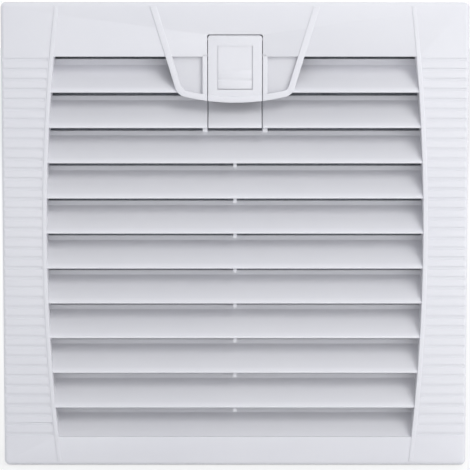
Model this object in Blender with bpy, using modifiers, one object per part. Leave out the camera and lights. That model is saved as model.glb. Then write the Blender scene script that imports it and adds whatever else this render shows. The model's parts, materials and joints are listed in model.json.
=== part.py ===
"""Cabinet filter fan: a louvred cover that swings down on two hinges, a latch flap in its
middle, a filter mat in a moulded housing, and an axial fan behind a wire finger guard.

Metres, +Z up. The origin is the centre of the square cut-out, in the plane of the cabinet
panel's outer face. The cover faces -Y and the fan stands inside the cabinet, towards +Y.
"""

import math

import bmesh
import bpy
from mathutils import Matrix, Vector

# Cover
COVER_WIDTH = 0.255
COVER_PROUD = 0.025
COVER_WALL = 0.0025
COVER_CORNER = 0.003
COVER_ROUND = 0.0022
COVER_STANDOFF = 0.004

# Bowed window in the cover
SIDE_STRIP = 0.0243
TOP_PANEL = 0.0296
BOTTOM_PANEL = 0.0159
BOW_RADIUS = 1.08
BOW_STEPS = 10
REVEAL_WALL = 0.0016
SIDE_BAND = 0.0022
SIDE_BAND_RISE = 0.0004

# Louvre blades
BLADE_PITCH = 0.0192
BLADE_RUN = 0.0128
BLADE_NOSE = 0.001
BLADE_LIP = 0.0026
BLADE_SLIT = 0.0019
BLADE_WALL = 0.002
BLADE_RECESS = 0.0003
FIRST_DROP = 0.0008
GUSSET_WIDTH = 0.0019

# Grooves across the side strips
GROOVE_PITCH = 0.00543
GROOVE_WIDTH = 0.0019
GROOVE_DEPTH = 0.00035
GROOVE_MARGIN = 0.0008

# Shield round the latch
SHIELD_TOP_HALF = 0.047
SHIELD_SLANT = 0.31
SHIELD_DROP = 0.0546
SHIELD_LIP_RADIUS = 0.12
SHIELD_CORNER = 0.007
SHIELD_WALL = 0.0038
RIM_WIDTH = 0.0034
RIM_RISE = 0.0005
POCKET_DEPTH = 0.0022

# Latch flap, its cheeks, pin and spring
LATCH_HALF = 0.01475
LATCH_SLOT = 0.00035
LATCH_TOP_DROP = 0.018
LATCH_TOP_GAP = 0.0004
LATCH_PLATE = 0.0025
LATCH_SIDE = 0.0012
LATCH_EDGE_ROUND = 0.0012
WEB_ROOM = 0.0009
LATCH_CORNER = 0.0015
LATCH_PIVOT_BACK = 0.0019
LATCH_PIVOT_DROP = 0.0022
LATCH_PIN_RADIUS = 0.0008
LATCH_ARM_HALF = 0.005
CHEEK_WALL = 0.0026
CHEEK_RISE = 0.0022
NOSE_THICKNESS = 0.0017
NOSE_SWING_ROOM = 0.0034
NOSE_RISE = 0.0099
CATCH_LIP = 0.0017
CATCH_WALL = 0.002
CATCH_HALF = 0.008
CATCH_PEG_OFFSET = 0.005
CATCH_PEG_RADIUS = 0.0012
PAD_DROP = 0.0028
PAD_BACK = 0.0109
SHELF_DROP = 0.0118
SHELF_WALL = 0.002
SPRING_RADIUS = 0.0024
SPRING_WIRE = 0.0006
SPRING_TURNS = 4
GRIP_HALF = 0.00965
GRIP_DEPTH = 0.0005
GRIP_TOP_DROP = 0.0058
GRIP_FIELD = 0.0133
GRIP_BAR = 0.0042
GRIP_GROOVE = 0.0012

# Hinge
HINGE_INSET = 0.0425
HINGE_FRONT = 0.008
HINGE_RISE = 0.0055
HINGE_KNUCKLE = 0.0026
HINGE_PIN_RADIUS = 0.0015
HINGE_LUG = 0.005
HINGE_EAR = 0.003
HINGE_SIDE_GAP = 0.0004

# Housing
COVER_LAP = 0.0155
CUTOUT_CLEARANCE = 0.0005
TRAY_WALL = 0.0025
TRAY_BACK = 0.034
TRAY_CORNER = 0.004
BACK_PLATE = 0.003
FLANGE_GAP = 0.002
FLANGE_WALL = 0.003
FLANGE_BOTTOM_ROOM = 0.0065
SEAL_THICKNESS = 0.002
SEAL_WIDTH = 0.0055
LEDGE_WALL = 0.002
LEDGE_REACH = 0.0045
RIB_WALL = 0.0018
RIB_HEIGHT = 0.006

# Filter mat and the grid behind it
MAT_THICKNESS = 0.017
GRID_THICKNESS = 0.003
GRID_BAR = 0.002
GRID_BORDER = 0.006
GRID_CELLS = 6

# Spring clips that grip the panel
CLIP_WIDTH = 0.014
CLIP_STEEL = 0.0008
CLIP_INSET = 0.0565
CLIP_FOOT_FRONT = 0.006
CLIP_FOOT_LENGTH = 0.02
CLIP_REACH = 0.0042
PANEL_ROOM = 0.0025

# Fan
FAN_DEPTH = 0.051
FAN_EDGE = 0.0255
FAN_FLAT_CUT = 0.011
FAN_TUBE_WALL = 0.0022
FAN_FLANGE = 0.004
FAN_INLET_FLARE = 0.001
FAN_SCREW_EDGE = 0.005
FAN_SCREW_ANGLE = 22.0
STRUT_COUNT = 4
STRUT_WIDTH = 0.009
STRUT_THICKNESS = 0.004
HUB_PLATE_LAP = 0.0022
BOSS_RADIUS = 0.0042
BOSS_LENGTH = 0.011
SCREW_RADIUS = 0.002
SCREW_HEAD_RADIUS = 0.0038
SCREW_HEAD_HEIGHT = 0.0026
SCREW_HEAD_SIDE = 0.45
SCREW_HEAD_TOP = 0.7
RECESS_REACH = 0.55
RECESS_WIDTH = 0.28
RECESS_DEPTH = 0.6

# Motor and impeller
BEARING_TUBE_RADIUS = 0.0075
BEARING_TUBE_WALL = 0.0018
BEARING_WIDTH = 0.005
SHAFT_RADIUS = 0.0025
STATOR_RADIUS = 0.0285
STATOR_LENGTH = 0.018
WINDING_THICKNESS = 0.005
ROTOR_WALL = 0.0016
ROTOR_FRONT = 0.006
ROTOR_GAP = 0.0012
ROTOR_REAR_GAP = 0.002
SLEEVE_WALL = 0.002
BLADE_TIP_GAP = 0.002
FAN_BLADES = 7
FAN_BLADE_WALL = 0.0014
FAN_BLADE_HUB_SWEEP = 40.0
FAN_BLADE_TIP_SWEEP = 34.0
FAN_BLADE_LEAN = 14.0
FAN_BLADE_MARGIN = 0.06
FAN_BLADE_TAPER = 0.22
FAN_BLADE_CAMBER = 0.12
FAN_BLADE_RAKE = 0.05

# Finger guard
GUARD_WIRE = 0.0016
GUARD_RINGS = 5
GUARD_INNER_RADIUS = 0.016
GUARD_EDGE_GAP = 0.002

# Terminal box
BOX_WIDTH = 0.042
BOX_HEIGHT = 0.032
BOX_DEPTH = 0.026
BOX_WALL = 0.0018
BOX_EDGE_GAP = 0.004
LID_THICKNESS = 0.0024
GLAND_RADIUS = 0.0075
GLAND_LENGTH = 0.009
GLAND_BORE = 0.0034
GLAND_NECK = 0.006
GLAND_NUT_TOP = 0.0056
LID_SCREW_RADIUS = 0.0015
BLOCK_HALF_WIDTH = 0.008
BLOCK_HALF_HEIGHT = 0.0102
BLOCK_DEPTH = 0.013
BLOCK_POLES = 3

# Clearances and construction
FIT_GAP = 0.0003
WELD = 0.0006
OVERCUT = 0.002
ROUND_SIDES = 24
SMALL_SIDES = 16
TINY_SIDES = 10
FAN_SIDES = 48
SLIVER = 1e-5

# Levels along Y
FRONT = -COVER_PROUD
COVER_INSIDE = FRONT + COVER_WALL
BLADE_FRONT = FRONT + BLADE_RECESS
BLADE_BACK = BLADE_FRONT + BLADE_RUN + BLADE_WALL
FLANGE_BACK = -SEAL_THICKNESS - FIT_GAP
FLANGE_FRONT = FLANGE_BACK - FLANGE_WALL
PLATE_FRONT = TRAY_BACK - BACK_PLATE
MAT_FRONT = FLANGE_FRONT + FIT_GAP
GRID_FRONT = MAT_FRONT + MAT_THICKNESS + FIT_GAP
LEDGE_FRONT = GRID_FRONT + GRID_THICKNESS + FIT_GAP
FAN_FRONT = TRAY_BACK + FIT_GAP
FAN_BACK = FAN_FRONT + FAN_DEPTH

# Half sizes and heights
COVER_HALF = COVER_WIDTH / 2
SKIRT_INSIDE = COVER_HALF - COVER_WALL
WINDOW_HALF = COVER_HALF - SIDE_STRIP
WINDOW_TOP = COVER_HALF - TOP_PANEL
WINDOW_BOTTOM = -COVER_HALF + BOTTOM_PANEL
CUTOUT_HALF = COVER_HALF - COVER_LAP
TRAY_HALF = CUTOUT_HALF - CUTOUT_CLEARANCE
TRAY_INSIDE = TRAY_HALF - TRAY_WALL
FLANGE_HALF = SKIRT_INSIDE - FLANGE_GAP
FLANGE_BOTTOM = SKIRT_INSIDE - FLANGE_BOTTOM_ROOM
TOP_NOSE = WINDOW_TOP - FIRST_DROP - BLADE_PITCH
BLADE_COUNT = math.ceil((WINDOW_TOP - WINDOW_BOTTOM) / BLADE_PITCH)
LATCH_NOSE = TOP_NOSE - BLADE_PITCH
BLADE_TOP = BLADE_PITCH - BLADE_SLIT
BLADE_FOLD = BLADE_TOP - BLADE_LIP
SHIELD_LIP = COVER_HALF - SHIELD_DROP
SLOT_HALF = LATCH_HALF + LATCH_SLOT
CHEEK_OUTSIDE = SLOT_HALF + CHEEK_WALL
LATCH_TOP = COVER_HALF - LATCH_TOP_DROP
PIVOT_Y = FRONT + LATCH_PIVOT_BACK
PIVOT_Z = LATCH_TOP - LATCH_PIVOT_DROP
HINGE_Y = -HINGE_FRONT
HINGE_Z = -COVER_HALF + HINGE_RISE
HINGE_X = COVER_HALF - HINGE_INSET
CLIP_OFFSET = TRAY_HALF - CLIP_INSET
FAN_RIM_RADIUS = TRAY_HALF - FAN_EDGE
FAN_FLAT = FAN_RIM_RADIUS - FAN_FLAT_CUT
FAN_BORE = FAN_FLAT - FAN_TUBE_WALL - FIT_GAP
FAN_SCREW_RADIUS = FAN_RIM_RADIUS - FAN_SCREW_EDGE
ROTOR_RADIUS = STATOR_RADIUS + ROTOR_GAP + ROTOR_WALL
SLEEVE_RADIUS = ROTOR_RADIUS + FIT_GAP + SLEEVE_WALL
HUB_PLATE_RADIUS = ROTOR_RADIUS + HUB_PLATE_LAP
PLATE_OPENING = FAN_BORE + FAN_INLET_FLARE
CATCH_LOW = PIVOT_Z + NOSE_RISE + FIT_GAP
CATCH_TOP = FLANGE_HALF - FIT_GAP

COLLECTION_NAME = "cabinet_filter_fan"
TOOLS_NAME = "cutters"


# Scene and helpers


def clear_scene():
    for obj in list(bpy.data.objects):
        bpy.data.objects.remove(obj)


def new_collection(name):
    collection = bpy.data.collections.new(name)
    bpy.context.scene.collection.children.link(collection)
    return collection


def place(name, mesh, collection):
    obj = bpy.data.objects.new(name, mesh)
    collection.objects.link(obj)
    return obj


def from_bmesh(name, bm, collection):
    mesh = bpy.data.meshes.new(name)
    bm.to_mesh(mesh)
    bm.free()
    return place(name, mesh, collection)


def add_cube(bm, x, y, z):
    """A box between the pairs x, y and z."""
    size = Vector((x[1] - x[0], y[1] - y[0], z[1] - z[0]))
    centre = Vector((sum(x), sum(y), sum(z))) / 2
    bmesh.ops.create_cube(bm, size=1, matrix=Matrix.Translation(centre) @ Matrix.Diagonal((*size, 1)))


def box(name, x, y, z, collection):
    bm = bmesh.new()
    add_cube(bm, x, y, z)
    return from_bmesh(name, bm, collection)


def axis_matrix(axis, centre):
    """Turns +Z to the axis, and moves to the centre."""
    turn = Vector((0, 0, 1)).rotation_difference(Vector(axis)).to_matrix().to_4x4()
    return Matrix.Translation(Vector(centre)) @ turn


def add_rod(bm, axis, start, length, radius, end_radius=None, sides=ROUND_SIDES):
    """A cylinder or cone from the point start, along the unit axis."""
    middle = Vector(start) + Vector(axis) * (length / 2)
    bmesh.ops.create_cone(
        bm, cap_ends=True, segments=sides, radius1=radius,
        radius2=radius if end_radius is None else end_radius,
        depth=length, matrix=axis_matrix(axis, middle),
    )


def rod(name, axis, start, length, radius, collection, end_radius=None, sides=ROUND_SIDES):
    bm = bmesh.new()
    add_rod(bm, axis, start, length, radius, end_radius, sides)
    return from_bmesh(name, bm, collection)


def to_mesh(obj, collection):
    """The mesh of a curve object, with its caps welded, in a new object of the same name."""
    graph = bpy.context.evaluated_depsgraph_get()
    mesh = bpy.data.meshes.new_from_object(obj.evaluated_get(graph))
    mesh.transform(obj.matrix_world)
    name = obj.name
    bpy.data.objects.remove(obj)
    bm = bmesh.new()
    bm.from_mesh(mesh)
    bmesh.ops.remove_doubles(bm, verts=bm.verts, dist=SLIVER / 10)
    bmesh.ops.recalc_face_normals(bm, faces=bm.faces)
    bm.to_mesh(mesh)
    bm.free()
    return place(name, mesh, collection)


PLANES = {
    "X": Matrix(((0, 0, 1, 0), (1, 0, 0, 0), (0, 1, 0, 0), (0, 0, 0, 1))),
    "Y": Matrix(((1, 0, 0, 0), (0, 0, -1, 0), (0, 1, 0, 0), (0, 0, 0, 1))),
}


def prism(name, outlines, axis, start, end, collection):
    """A flat outline, with any holes as further outlines, made thick along X or Y.

    The outline is given in (y, z) along X and in (x, z) along Y.
    """
    curve = bpy.data.curves.new(name, "CURVE")
    curve.dimensions = "2D"
    curve.fill_mode = "BOTH"
    curve.extrude = (end - start) / 2
    for outline in outlines:
        spline = curve.splines.new("POLY")
        spline.points.add(len(outline) - 1)
        for point, (u, v) in zip(spline.points, outline):
            point.co = (u, v, 0, 1)
        spline.use_cyclic_u = True
    obj = place(name, curve, collection)
    middle = (start + end) / 2
    shift = (middle, 0, 0) if axis == "X" else (0, middle, 0)
    obj.matrix_world = Matrix.Translation(shift) @ PLANES[axis]
    bpy.context.view_layer.update()
    return to_mesh(obj, collection)


def turned(name, profile, collection, sides=ROUND_SIDES):
    """A profile of (radius, y) pairs turned about the fan's axis, with a Screw modifier.

    A profile that starts and ends on the axis stays open there.
    """
    mesh = bpy.data.meshes.new(name)
    points = [(r, 0, -y) for r, y in profile]
    edges = [(i, i + 1) for i in range(len(points) - 1)]
    if profile[0][0] > 0:
        edges.append((len(points) - 1, 0))
    mesh.from_pydata(points, edges, [])
    obj = place(name, mesh, collection)
    screw = obj.modifiers.new("turn", "SCREW")
    screw.steps = sides
    screw.render_steps = sides
    screw.use_merge_vertices = True
    screw.merge_threshold = SLIVER
    obj.matrix_world = Matrix.Rotation(math.pi / 2, 4, "X")
    bpy.context.view_layer.update()
    return to_mesh(obj, collection)


def arc(centre, radius, start, end, steps):
    """Points on a circle, between two angles in degrees."""
    found = []
    for i in range(steps + 1):
        angle = math.radians(start + (end - start) * i / steps)
        found.append((centre[0] + radius * math.cos(angle), centre[1] + radius * math.sin(angle)))
    return found


def rounded_square(half, radius, steps=3):
    return rounded_box((-half, half), (-half, half), radius, steps)


def rounded_box(u, v, radius, steps=3):
    corners = ((u[1], v[1], 0), (u[0], v[1], 90), (u[0], v[0], 180), (u[1], v[0], 270))
    outline = []
    for cu, cv, turn in corners:
        inner = (cu - math.copysign(radius, cu - sum(u) / 2), cv - math.copysign(radius, cv - sum(v) / 2))
        outline += arc(inner, radius, turn, turn + 90, steps)
    return outline


def combine(obj, operation, tool):
    """A live Boolean modifier; the tool is kept as a wire helper."""
    modifier = obj.modifiers.new(f"{operation.lower()} {tool.name}", "BOOLEAN")
    modifier.operation = operation
    modifier.object = tool
    tool.display_type = "WIRE"
    tool.hide_render = True
    return obj


def join(obj, *tools):
    for tool in tools:
        combine(obj, "UNION", tool)
    return obj


def cut(obj, *tools):
    for tool in tools:
        combine(obj, "DIFFERENCE", tool)
    return obj


def close_slivers(obj):
    """Merges corners that the cuts so far left closer than a hundredth of a millimetre."""
    weld = obj.modifiers.new("close slivers", "WELD")
    weld.merge_threshold = SLIVER
    return obj


def bevel_edges(obj, width, segments, choose):
    """Rounds the edges for which choose(edge) is true."""
    bm = bmesh.new()
    bm.from_mesh(obj.data)
    edges = [edge for edge in bm.edges if choose(edge)]
    bmesh.ops.bevel(bm, geom=edges, offset=width, segments=segments, profile=0.5, affect="EDGES")
    bm.to_mesh(obj.data)
    bm.free()


def smooth(obj, angle=35):
    obj.data.shade_smooth()
    obj.data.set_sharp_from_angle(angle=math.radians(angle))


# Outlines


def bow_x(z, outset=0.0):
    """Half width of the window at height z, with its bowed side moved outwards by outset."""
    return WINDOW_HALF - BOW_RADIUS + math.sqrt((BOW_RADIUS + outset) ** 2 - z * z)


def bow_side(low, high, outset):
    heights = [low + (high - low) * i / BOW_STEPS for i in range(BOW_STEPS + 1)]
    return [(bow_x(z, outset), z) for z in heights]


def window_outline(outset):
    right = bow_side(WINDOW_BOTTOM - outset, WINDOW_TOP + outset, outset)
    return right + [(-x, z) for x, z in reversed(right)]


def shield_corner():
    """Centre of the fillet between the slanted side and the curved lip."""
    norm = math.hypot(1, SHIELD_SLANT)
    lip_centre = SHIELD_LIP + SHIELD_LIP_RADIUS
    inner = SHIELD_LIP_RADIUS - SHIELD_CORNER
    # x = base + slant * z, moved in by the fillet radius, meets the lip's circle moved in as well
    base = SHIELD_TOP_HALF - SHIELD_SLANT * COVER_HALF - SHIELD_CORNER * norm
    a = 1 + SHIELD_SLANT**2
    b = 2 * (base * SHIELD_SLANT - lip_centre)
    c = base**2 + lip_centre**2 - inner**2
    z = (-b - math.sqrt(b * b - 4 * a * c)) / (2 * a)
    return base + SHIELD_SLANT * z, z


def shield_side(inset, top):
    """Right half of the shield's outline from the top down to the middle of its lip."""
    norm = math.hypot(1, SHIELD_SLANT)
    corner = shield_corner()
    lip_centre = SHIELD_LIP + SHIELD_LIP_RADIUS
    top_x = SHIELD_TOP_HALF - SHIELD_SLANT * (COVER_HALF - top) - inset * norm
    side_angle = math.degrees(math.atan2(-SHIELD_SLANT, 1))
    lip_angle = math.degrees(math.atan2(corner[1] - lip_centre, corner[0]))
    points = [(top_x, top)]
    points += arc(corner, SHIELD_CORNER - inset, side_angle, lip_angle, 5)
    points += arc((0, lip_centre), SHIELD_LIP_RADIUS - inset, lip_angle, -90, 6)[1:]
    return points


def shield_outline(inset, top):
    side = shield_side(inset, top)
    return side + [(-x, z) for x, z in reversed(side[:-1])]


def blade_profile(nose_z):
    """Section of one louvre blade in (y, z): nose, sloping face, upright lip at the back."""
    rise = BLADE_FOLD - BLADE_NOSE
    slope = math.hypot(BLADE_RUN, rise)
    along = (BLADE_RUN / slope, rise / slope)
    under = (BLADE_WALL * along[1], BLADE_NOSE - BLADE_WALL * along[0])
    back = BLADE_RUN + BLADE_WALL
    under_start = under[0] - under[1] * along[0] / along[1]
    under_end = under[1] + (back - under[0]) * along[1] / along[0]
    points = [
        (0, 0), (0, BLADE_NOSE), (BLADE_RUN, BLADE_FOLD), (BLADE_RUN, BLADE_TOP),
        (back, BLADE_TOP), (back, under_end), (under_start, 0),
    ]
    return [(BLADE_FRONT + y, nose_z + z) for y, z in points]


def gusset_profile(nose_z, bottom):
    """Web under a blade: it hangs to the given height and shows only in the slit."""
    profile = blade_profile(nose_z)
    under_start, under_end = profile[6], profile[5]
    front = under_start[0] - BLADE_NOSE / 2
    return [
        (front, bottom), (front, nose_z + BLADE_NOSE / 2), (under_end[0] - WELD, under_end[1] + WELD),
        (under_end[0] - WELD, bottom),
    ]


# Cover


def cover_shell(tools):
    back = -COVER_STANDOFF
    shell = prism("louvre_cover", [rounded_square(COVER_HALF, COVER_CORNER)], "Y", FRONT, back, tools)
    bevel_edges(
        shell, COVER_ROUND, 3,
        lambda edge: all(abs(v.co.y - FRONT) < SLIVER for v in edge.verts) and edge.is_manifold
        and any(abs(face.normal.y) < 0.5 for face in edge.link_faces),
    )
    cavity = box(
        "cover_cavity", (-SKIRT_INSIDE, SKIRT_INSIDE), (COVER_INSIDE, back + OVERCUT),
        (-SKIRT_INSIDE, SKIRT_INSIDE), tools,
    )
    return shell, cavity


def side_bands(tools):
    """Two raised bands that run along the window's sides from edge to edge."""
    bm_tools = []
    limit = COVER_HALF - COVER_ROUND - WELD / 2
    for side in (1, -1):
        inner = bow_side(-limit, limit, WELD / 2)
        outer = bow_side(-limit, limit, SIDE_BAND)
        outline = [(side * x, z) for x, z in outer + inner[::-1]]
        bm_tools.append(
            prism(f"side_band_{side}", [outline], "Y", FRONT - SIDE_BAND_RISE, FRONT + WELD, tools)
        )
    return bm_tools


def blade_stack(tools):
    stack = []
    for i in range(BLADE_COUNT):
        profile = blade_profile(TOP_NOSE - i * BLADE_PITCH)
        reach = WINDOW_HALF + REVEAL_WALL
        stack.append(prism(f"blade_{i + 1}", [profile], "X", -reach, reach, tools))
    return merge("blade_stack", stack, tools)


def merge(name, objects, collection):
    """One helper object from several that don't touch each other."""
    bm = bmesh.new()
    for obj in objects:
        bm.from_mesh(obj.data)
        bpy.data.objects.remove(obj)
    return from_bmesh(name, bm, collection)


def groove_cutters(tools):
    bm = bmesh.new()
    count = int((WINDOW_TOP - WINDOW_BOTTOM) / GROOVE_PITCH) + 1
    first = (WINDOW_TOP + WINDOW_BOTTOM) / 2 + (count - 1) * GROOVE_PITCH / 2
    outer = COVER_HALF - COVER_ROUND - WELD / 2
    for i in range(count):
        z = first - i * GROOVE_PITCH
        inner = bow_x(z, SIDE_BAND) + GROOVE_MARGIN
        for side in (1, -1):
            ends = sorted((side * inner, side * outer))
            height = (z - GROOVE_WIDTH / 2, z + GROOVE_WIDTH / 2)
            add_cube(bm, ends, (FRONT - OVERCUT, FRONT + GROOVE_DEPTH), height)
    return from_bmesh("grooves", bm, tools)


def pocket_cutters(tools):
    """Recesses on both sides of the latch, inside the shield's rim."""
    side = [p for p in shield_side(RIM_WIDTH, WINDOW_TOP) if p[0] > CHEEK_OUTSIDE]
    lip_centre = SHIELD_LIP + SHIELD_LIP_RADIUS
    foot = lip_centre - math.sqrt((SHIELD_LIP_RADIUS - RIM_WIDTH) ** 2 - CHEEK_OUTSIDE**2)
    right = side + [(CHEEK_OUTSIDE, foot), (CHEEK_OUTSIDE, WINDOW_TOP)]
    pockets = []
    for sign in (1, -1):
        outline = [(sign * x, z) for x, z in right]
        pockets.append(
            prism(f"pocket_{sign}", [outline], "Y", FRONT - OVERCUT, FRONT + POCKET_DEPTH, tools)
        )
    return merge("pockets", pockets, tools)


def cheek_top():
    return LATCH_TOP + LATCH_TOP_GAP + CHEEK_RISE


def build_cover(parts, tools):
    cover, cavity = cover_shell(tools)
    parts.objects.link(cover)
    tools.objects.unlink(cover)
    cut(cover, cavity)
    join(cover, *side_bands(tools))
    reveal = prism(
        "reveal", [window_outline(REVEAL_WALL), window_outline(-REVEAL_WALL)], "Y",
        COVER_INSIDE - WELD, BLADE_BACK + FIT_GAP, tools,
    )
    window = prism("window", [window_outline(0)], "Y", FRONT - OVERCUT, -OVERCUT, tools)
    join(cover, reveal)
    cut(cover, window)
    blades = blade_stack(tools)
    inside = prism(
        "blade_bounds", [window_outline(REVEAL_WALL / 2)], "Y", FRONT - OVERCUT, -OVERCUT, tools
    )
    combine(blades, "INTERSECT", inside)
    join(cover, blades)
    close_slivers(cover)
    shield_top = WINDOW_TOP + REVEAL_WALL + WELD
    shield = prism(
        "shield_plate", [shield_outline(WELD / 2, shield_top)], "Y", FRONT + WELD / 4,
        FRONT + SHIELD_WALL, tools,
    )
    rim_top = COVER_HALF - COVER_ROUND - WELD / 2
    outer = shield_side(0, rim_top)
    inner = shield_side(RIM_WIDTH, rim_top)
    rim_outline = outer + [(-x, z) for x, z in outer[::-1][1:]]
    rim_outline += [(-x, z) for x, z in inner] + inner[::-1][1:]
    rim = prism("shield_rim", [rim_outline], "Y", FRONT - RIM_RISE, FRONT + WELD, tools)
    join(cover, shield, rim)
    cheek_bottom = LATCH_NOSE - BLADE_SLIT - WELD
    cheeks = []
    for side in (1, -1):
        ends = sorted((side * (SLOT_HALF - WELD), side * CHEEK_OUTSIDE))
        depth = (COVER_INSIDE - WELD, BLADE_BACK - WELD / 2)
        cheeks.append(box(f"cheek_{side}", ends, depth, (cheek_bottom, cheek_top()), tools))
    join(cover, merge("cheeks", cheeks, tools))
    gussets = []
    for i in range(2, BLADE_COUNT - 1):
        nose = TOP_NOSE - i * BLADE_PITCH
        if nose - BLADE_SLIT - WELD < WINDOW_BOTTOM:
            continue
        outline = gusset_profile(nose, nose - BLADE_SLIT - WELD)
        gussets.append(
            prism(f"gusset_{i}", [outline], "X", -GUSSET_WIDTH / 2, GUSSET_WIDTH / 2, tools)
        )
    join(cover, merge("gussets", gussets, tools))
    slot_bottom = LATCH_NOSE - BLADE_SLIT / 2
    slot = prism(
        "latch_slot",
        [rounded_box((-SLOT_HALF, SLOT_HALF), (slot_bottom, LATCH_TOP + LATCH_TOP_GAP), LATCH_SLOT)],
        "Y", FRONT - OVERCUT, -OVERCUT, tools,
    )
    cut(cover, slot, pocket_cutters(tools), groove_cutters(tools))
    join(cover, *latch_shelf(tools), hinge_lugs(tools))
    pin_hole = rod(
        "latch_pin_hole", (1, 0, 0), (-pin_reach(), PIVOT_Y, PIVOT_Z), 2 * pin_reach(),
        LATCH_PIN_RADIUS + FIT_GAP, tools, sides=SMALL_SIDES,
    )
    cut(cover, pin_hole, hinge_notches(tools), hinge_bores(tools))
    smooth(cover)
    return cover


def latch_shelf(tools):
    """Shelf between the cheeks that the latch spring stands on, with its peg."""
    top = PIVOT_Z - SHELF_DROP
    back = BLADE_BACK - WELD
    shelf = box(
        "spring_shelf", (-SLOT_HALF - WELD, SLOT_HALF + WELD), (spring_y() - 3 * SPRING_RADIUS / 2, back),
        (top - SHELF_WALL, top), tools,
    )
    peg = rod(
        "spring_peg", (0, 0, 1), (0, spring_y(), top - WELD), WELD + SPRING_RADIUS,
        SPRING_RADIUS - SPRING_WIRE / 2 - FIT_GAP, tools, sides=SMALL_SIDES,
    )
    return shelf, peg


def pin_reach():
    return SLOT_HALF + CHEEK_WALL - WELD


# Latch


def pad_z():
    """Underside of the latch arm, which the spring pushes up."""
    return PIVOT_Z - PAD_DROP


def spring_y():
    return PIVOT_Y + PAD_BACK - SPRING_RADIUS - SPRING_WIRE


def nose_back():
    return FLANGE_FRONT - NOSE_SWING_ROOM


def latch_plate(tools):
    """Front plate of the flap: rounded at its top edge, ended by the curved lip below."""
    back = FRONT + LATCH_PLATE
    top = LATCH_TOP
    knuckle = PIVOT_Y + LATCH_PIVOT_DROP
    low = SHIELD_LIP - OVERCUT
    side = [(back, low), (FRONT, low)]
    side += arc((FRONT + LATCH_EDGE_ROUND, top - LATCH_EDGE_ROUND), LATCH_EDGE_ROUND, 180, 90, 4)
    side += arc((PIVOT_Y, PIVOT_Z), LATCH_PIVOT_DROP, 90, 0, 5)
    side += [(knuckle, PIVOT_Z - LATCH_PIVOT_DROP), (back, PIVOT_Z - 2 * LATCH_PIVOT_DROP)]
    plate = prism("latch_flap", [side], "X", -LATCH_HALF, LATCH_HALF, tools)
    lip_centre = SHIELD_LIP + SHIELD_LIP_RADIUS
    spread = math.degrees(math.asin(LATCH_HALF / SHIELD_LIP_RADIUS))
    face = arc((0, lip_centre), SHIELD_LIP_RADIUS, -90 - spread, -90 + spread, 8)
    face += arc((LATCH_HALF - LATCH_CORNER, top - LATCH_CORNER), LATCH_CORNER, 0, 90, 4)
    face += arc((LATCH_CORNER - LATCH_HALF, top - LATCH_CORNER), LATCH_CORNER, 90, 180, 4)
    bounds = prism("latch_face", [face], "Y", FRONT - OVERCUT, -OVERCUT, tools)
    combine(plate, "INTERSECT", bounds)
    return plate


def latch_rim(tools):
    """The shield's raised rim runs on across the foot of the flap."""
    lip_centre = SHIELD_LIP + SHIELD_LIP_RADIUS
    spread = math.degrees(math.asin(LATCH_HALF / SHIELD_LIP_RADIUS))
    inner_spread = math.degrees(math.asin(LATCH_HALF / (SHIELD_LIP_RADIUS - RIM_WIDTH)))
    outline = arc((0, lip_centre), SHIELD_LIP_RADIUS, -90 - spread, -90 + spread, 8)
    outline += arc((0, lip_centre), SHIELD_LIP_RADIUS - RIM_WIDTH, -90 + inner_spread, -90 - inner_spread, 8)
    return prism("latch_rim", [outline], "Y", FRONT - RIM_RISE, FRONT + WELD, tools)


def latch_sides(tools):
    """Side walls that carry the louvre section behind the lip, and the webs under it."""
    inner = FRONT + LATCH_PLATE - WELD
    fold_y = BLADE_FRONT + BLADE_RUN
    fold_z = LATCH_NOSE + BLADE_FOLD
    wall = [
        (inner, SHIELD_LIP + BLADE_NOSE), (inner, PIVOT_Z - SHELF_DROP - SHELF_WALL - OVERCUT),
        (fold_y + BLADE_WALL / 2, fold_z + BLADE_LIP + BLADE_WALL),
        (fold_y + BLADE_WALL / 2, fold_z), (fold_y - BLADE_WALL / 2, fold_z - WELD),
    ]
    web = gusset_profile(LATCH_NOSE, LATCH_NOSE - BLADE_SLIT + WEB_ROOM)
    made = []
    for side in (1, -1):
        far = LATCH_HALF - WELD / 2
        near = far - LATCH_SIDE
        ends = sorted((side * near, side * far))
        web_ends = sorted((side * (near + WELD / 4), side * (far - WELD / 4)))
        made.append(prism(f"latch_side_{side}", [wall], "X", *ends, tools))
        made.append(prism(f"latch_web_{side}", [web], "X", *web_ends, tools))
    return made


def latch_arm(tools):
    """Arm behind the flap: it rests on the spring and carries the nose at its back end."""
    back = nose_back()
    front = back - NOSE_THICKNESS
    root = FRONT + LATCH_PLATE - WELD
    pad_back = PIVOT_Y + PAD_BACK
    nose_top = PIVOT_Z + NOSE_RISE
    under = nose_top - 2.2 * NOSE_THICKNESS
    shoulder = nose_top - 1.5 * NOSE_THICKNESS
    side = [
        (root, PIVOT_Z - 3 * LATCH_PIVOT_DROP), (pad_back - 2 * PAD_DROP, pad_z()), (pad_back, pad_z()),
        (front - NOSE_THICKNESS, under - NOSE_THICKNESS / 2), (back, under), (back, nose_top),
        (front, nose_top), (front, shoulder), (front - 1.5 * NOSE_THICKNESS, shoulder - NOSE_THICKNESS / 2),
        (PIVOT_Y + PAD_BACK / 2, PIVOT_Z + LATCH_PIVOT_DROP), (root, PIVOT_Z - LATCH_PIVOT_DROP / 2),
    ]
    return prism("latch_arm", [side], "X", -LATCH_ARM_HALF, LATCH_ARM_HALF, tools)


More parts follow.
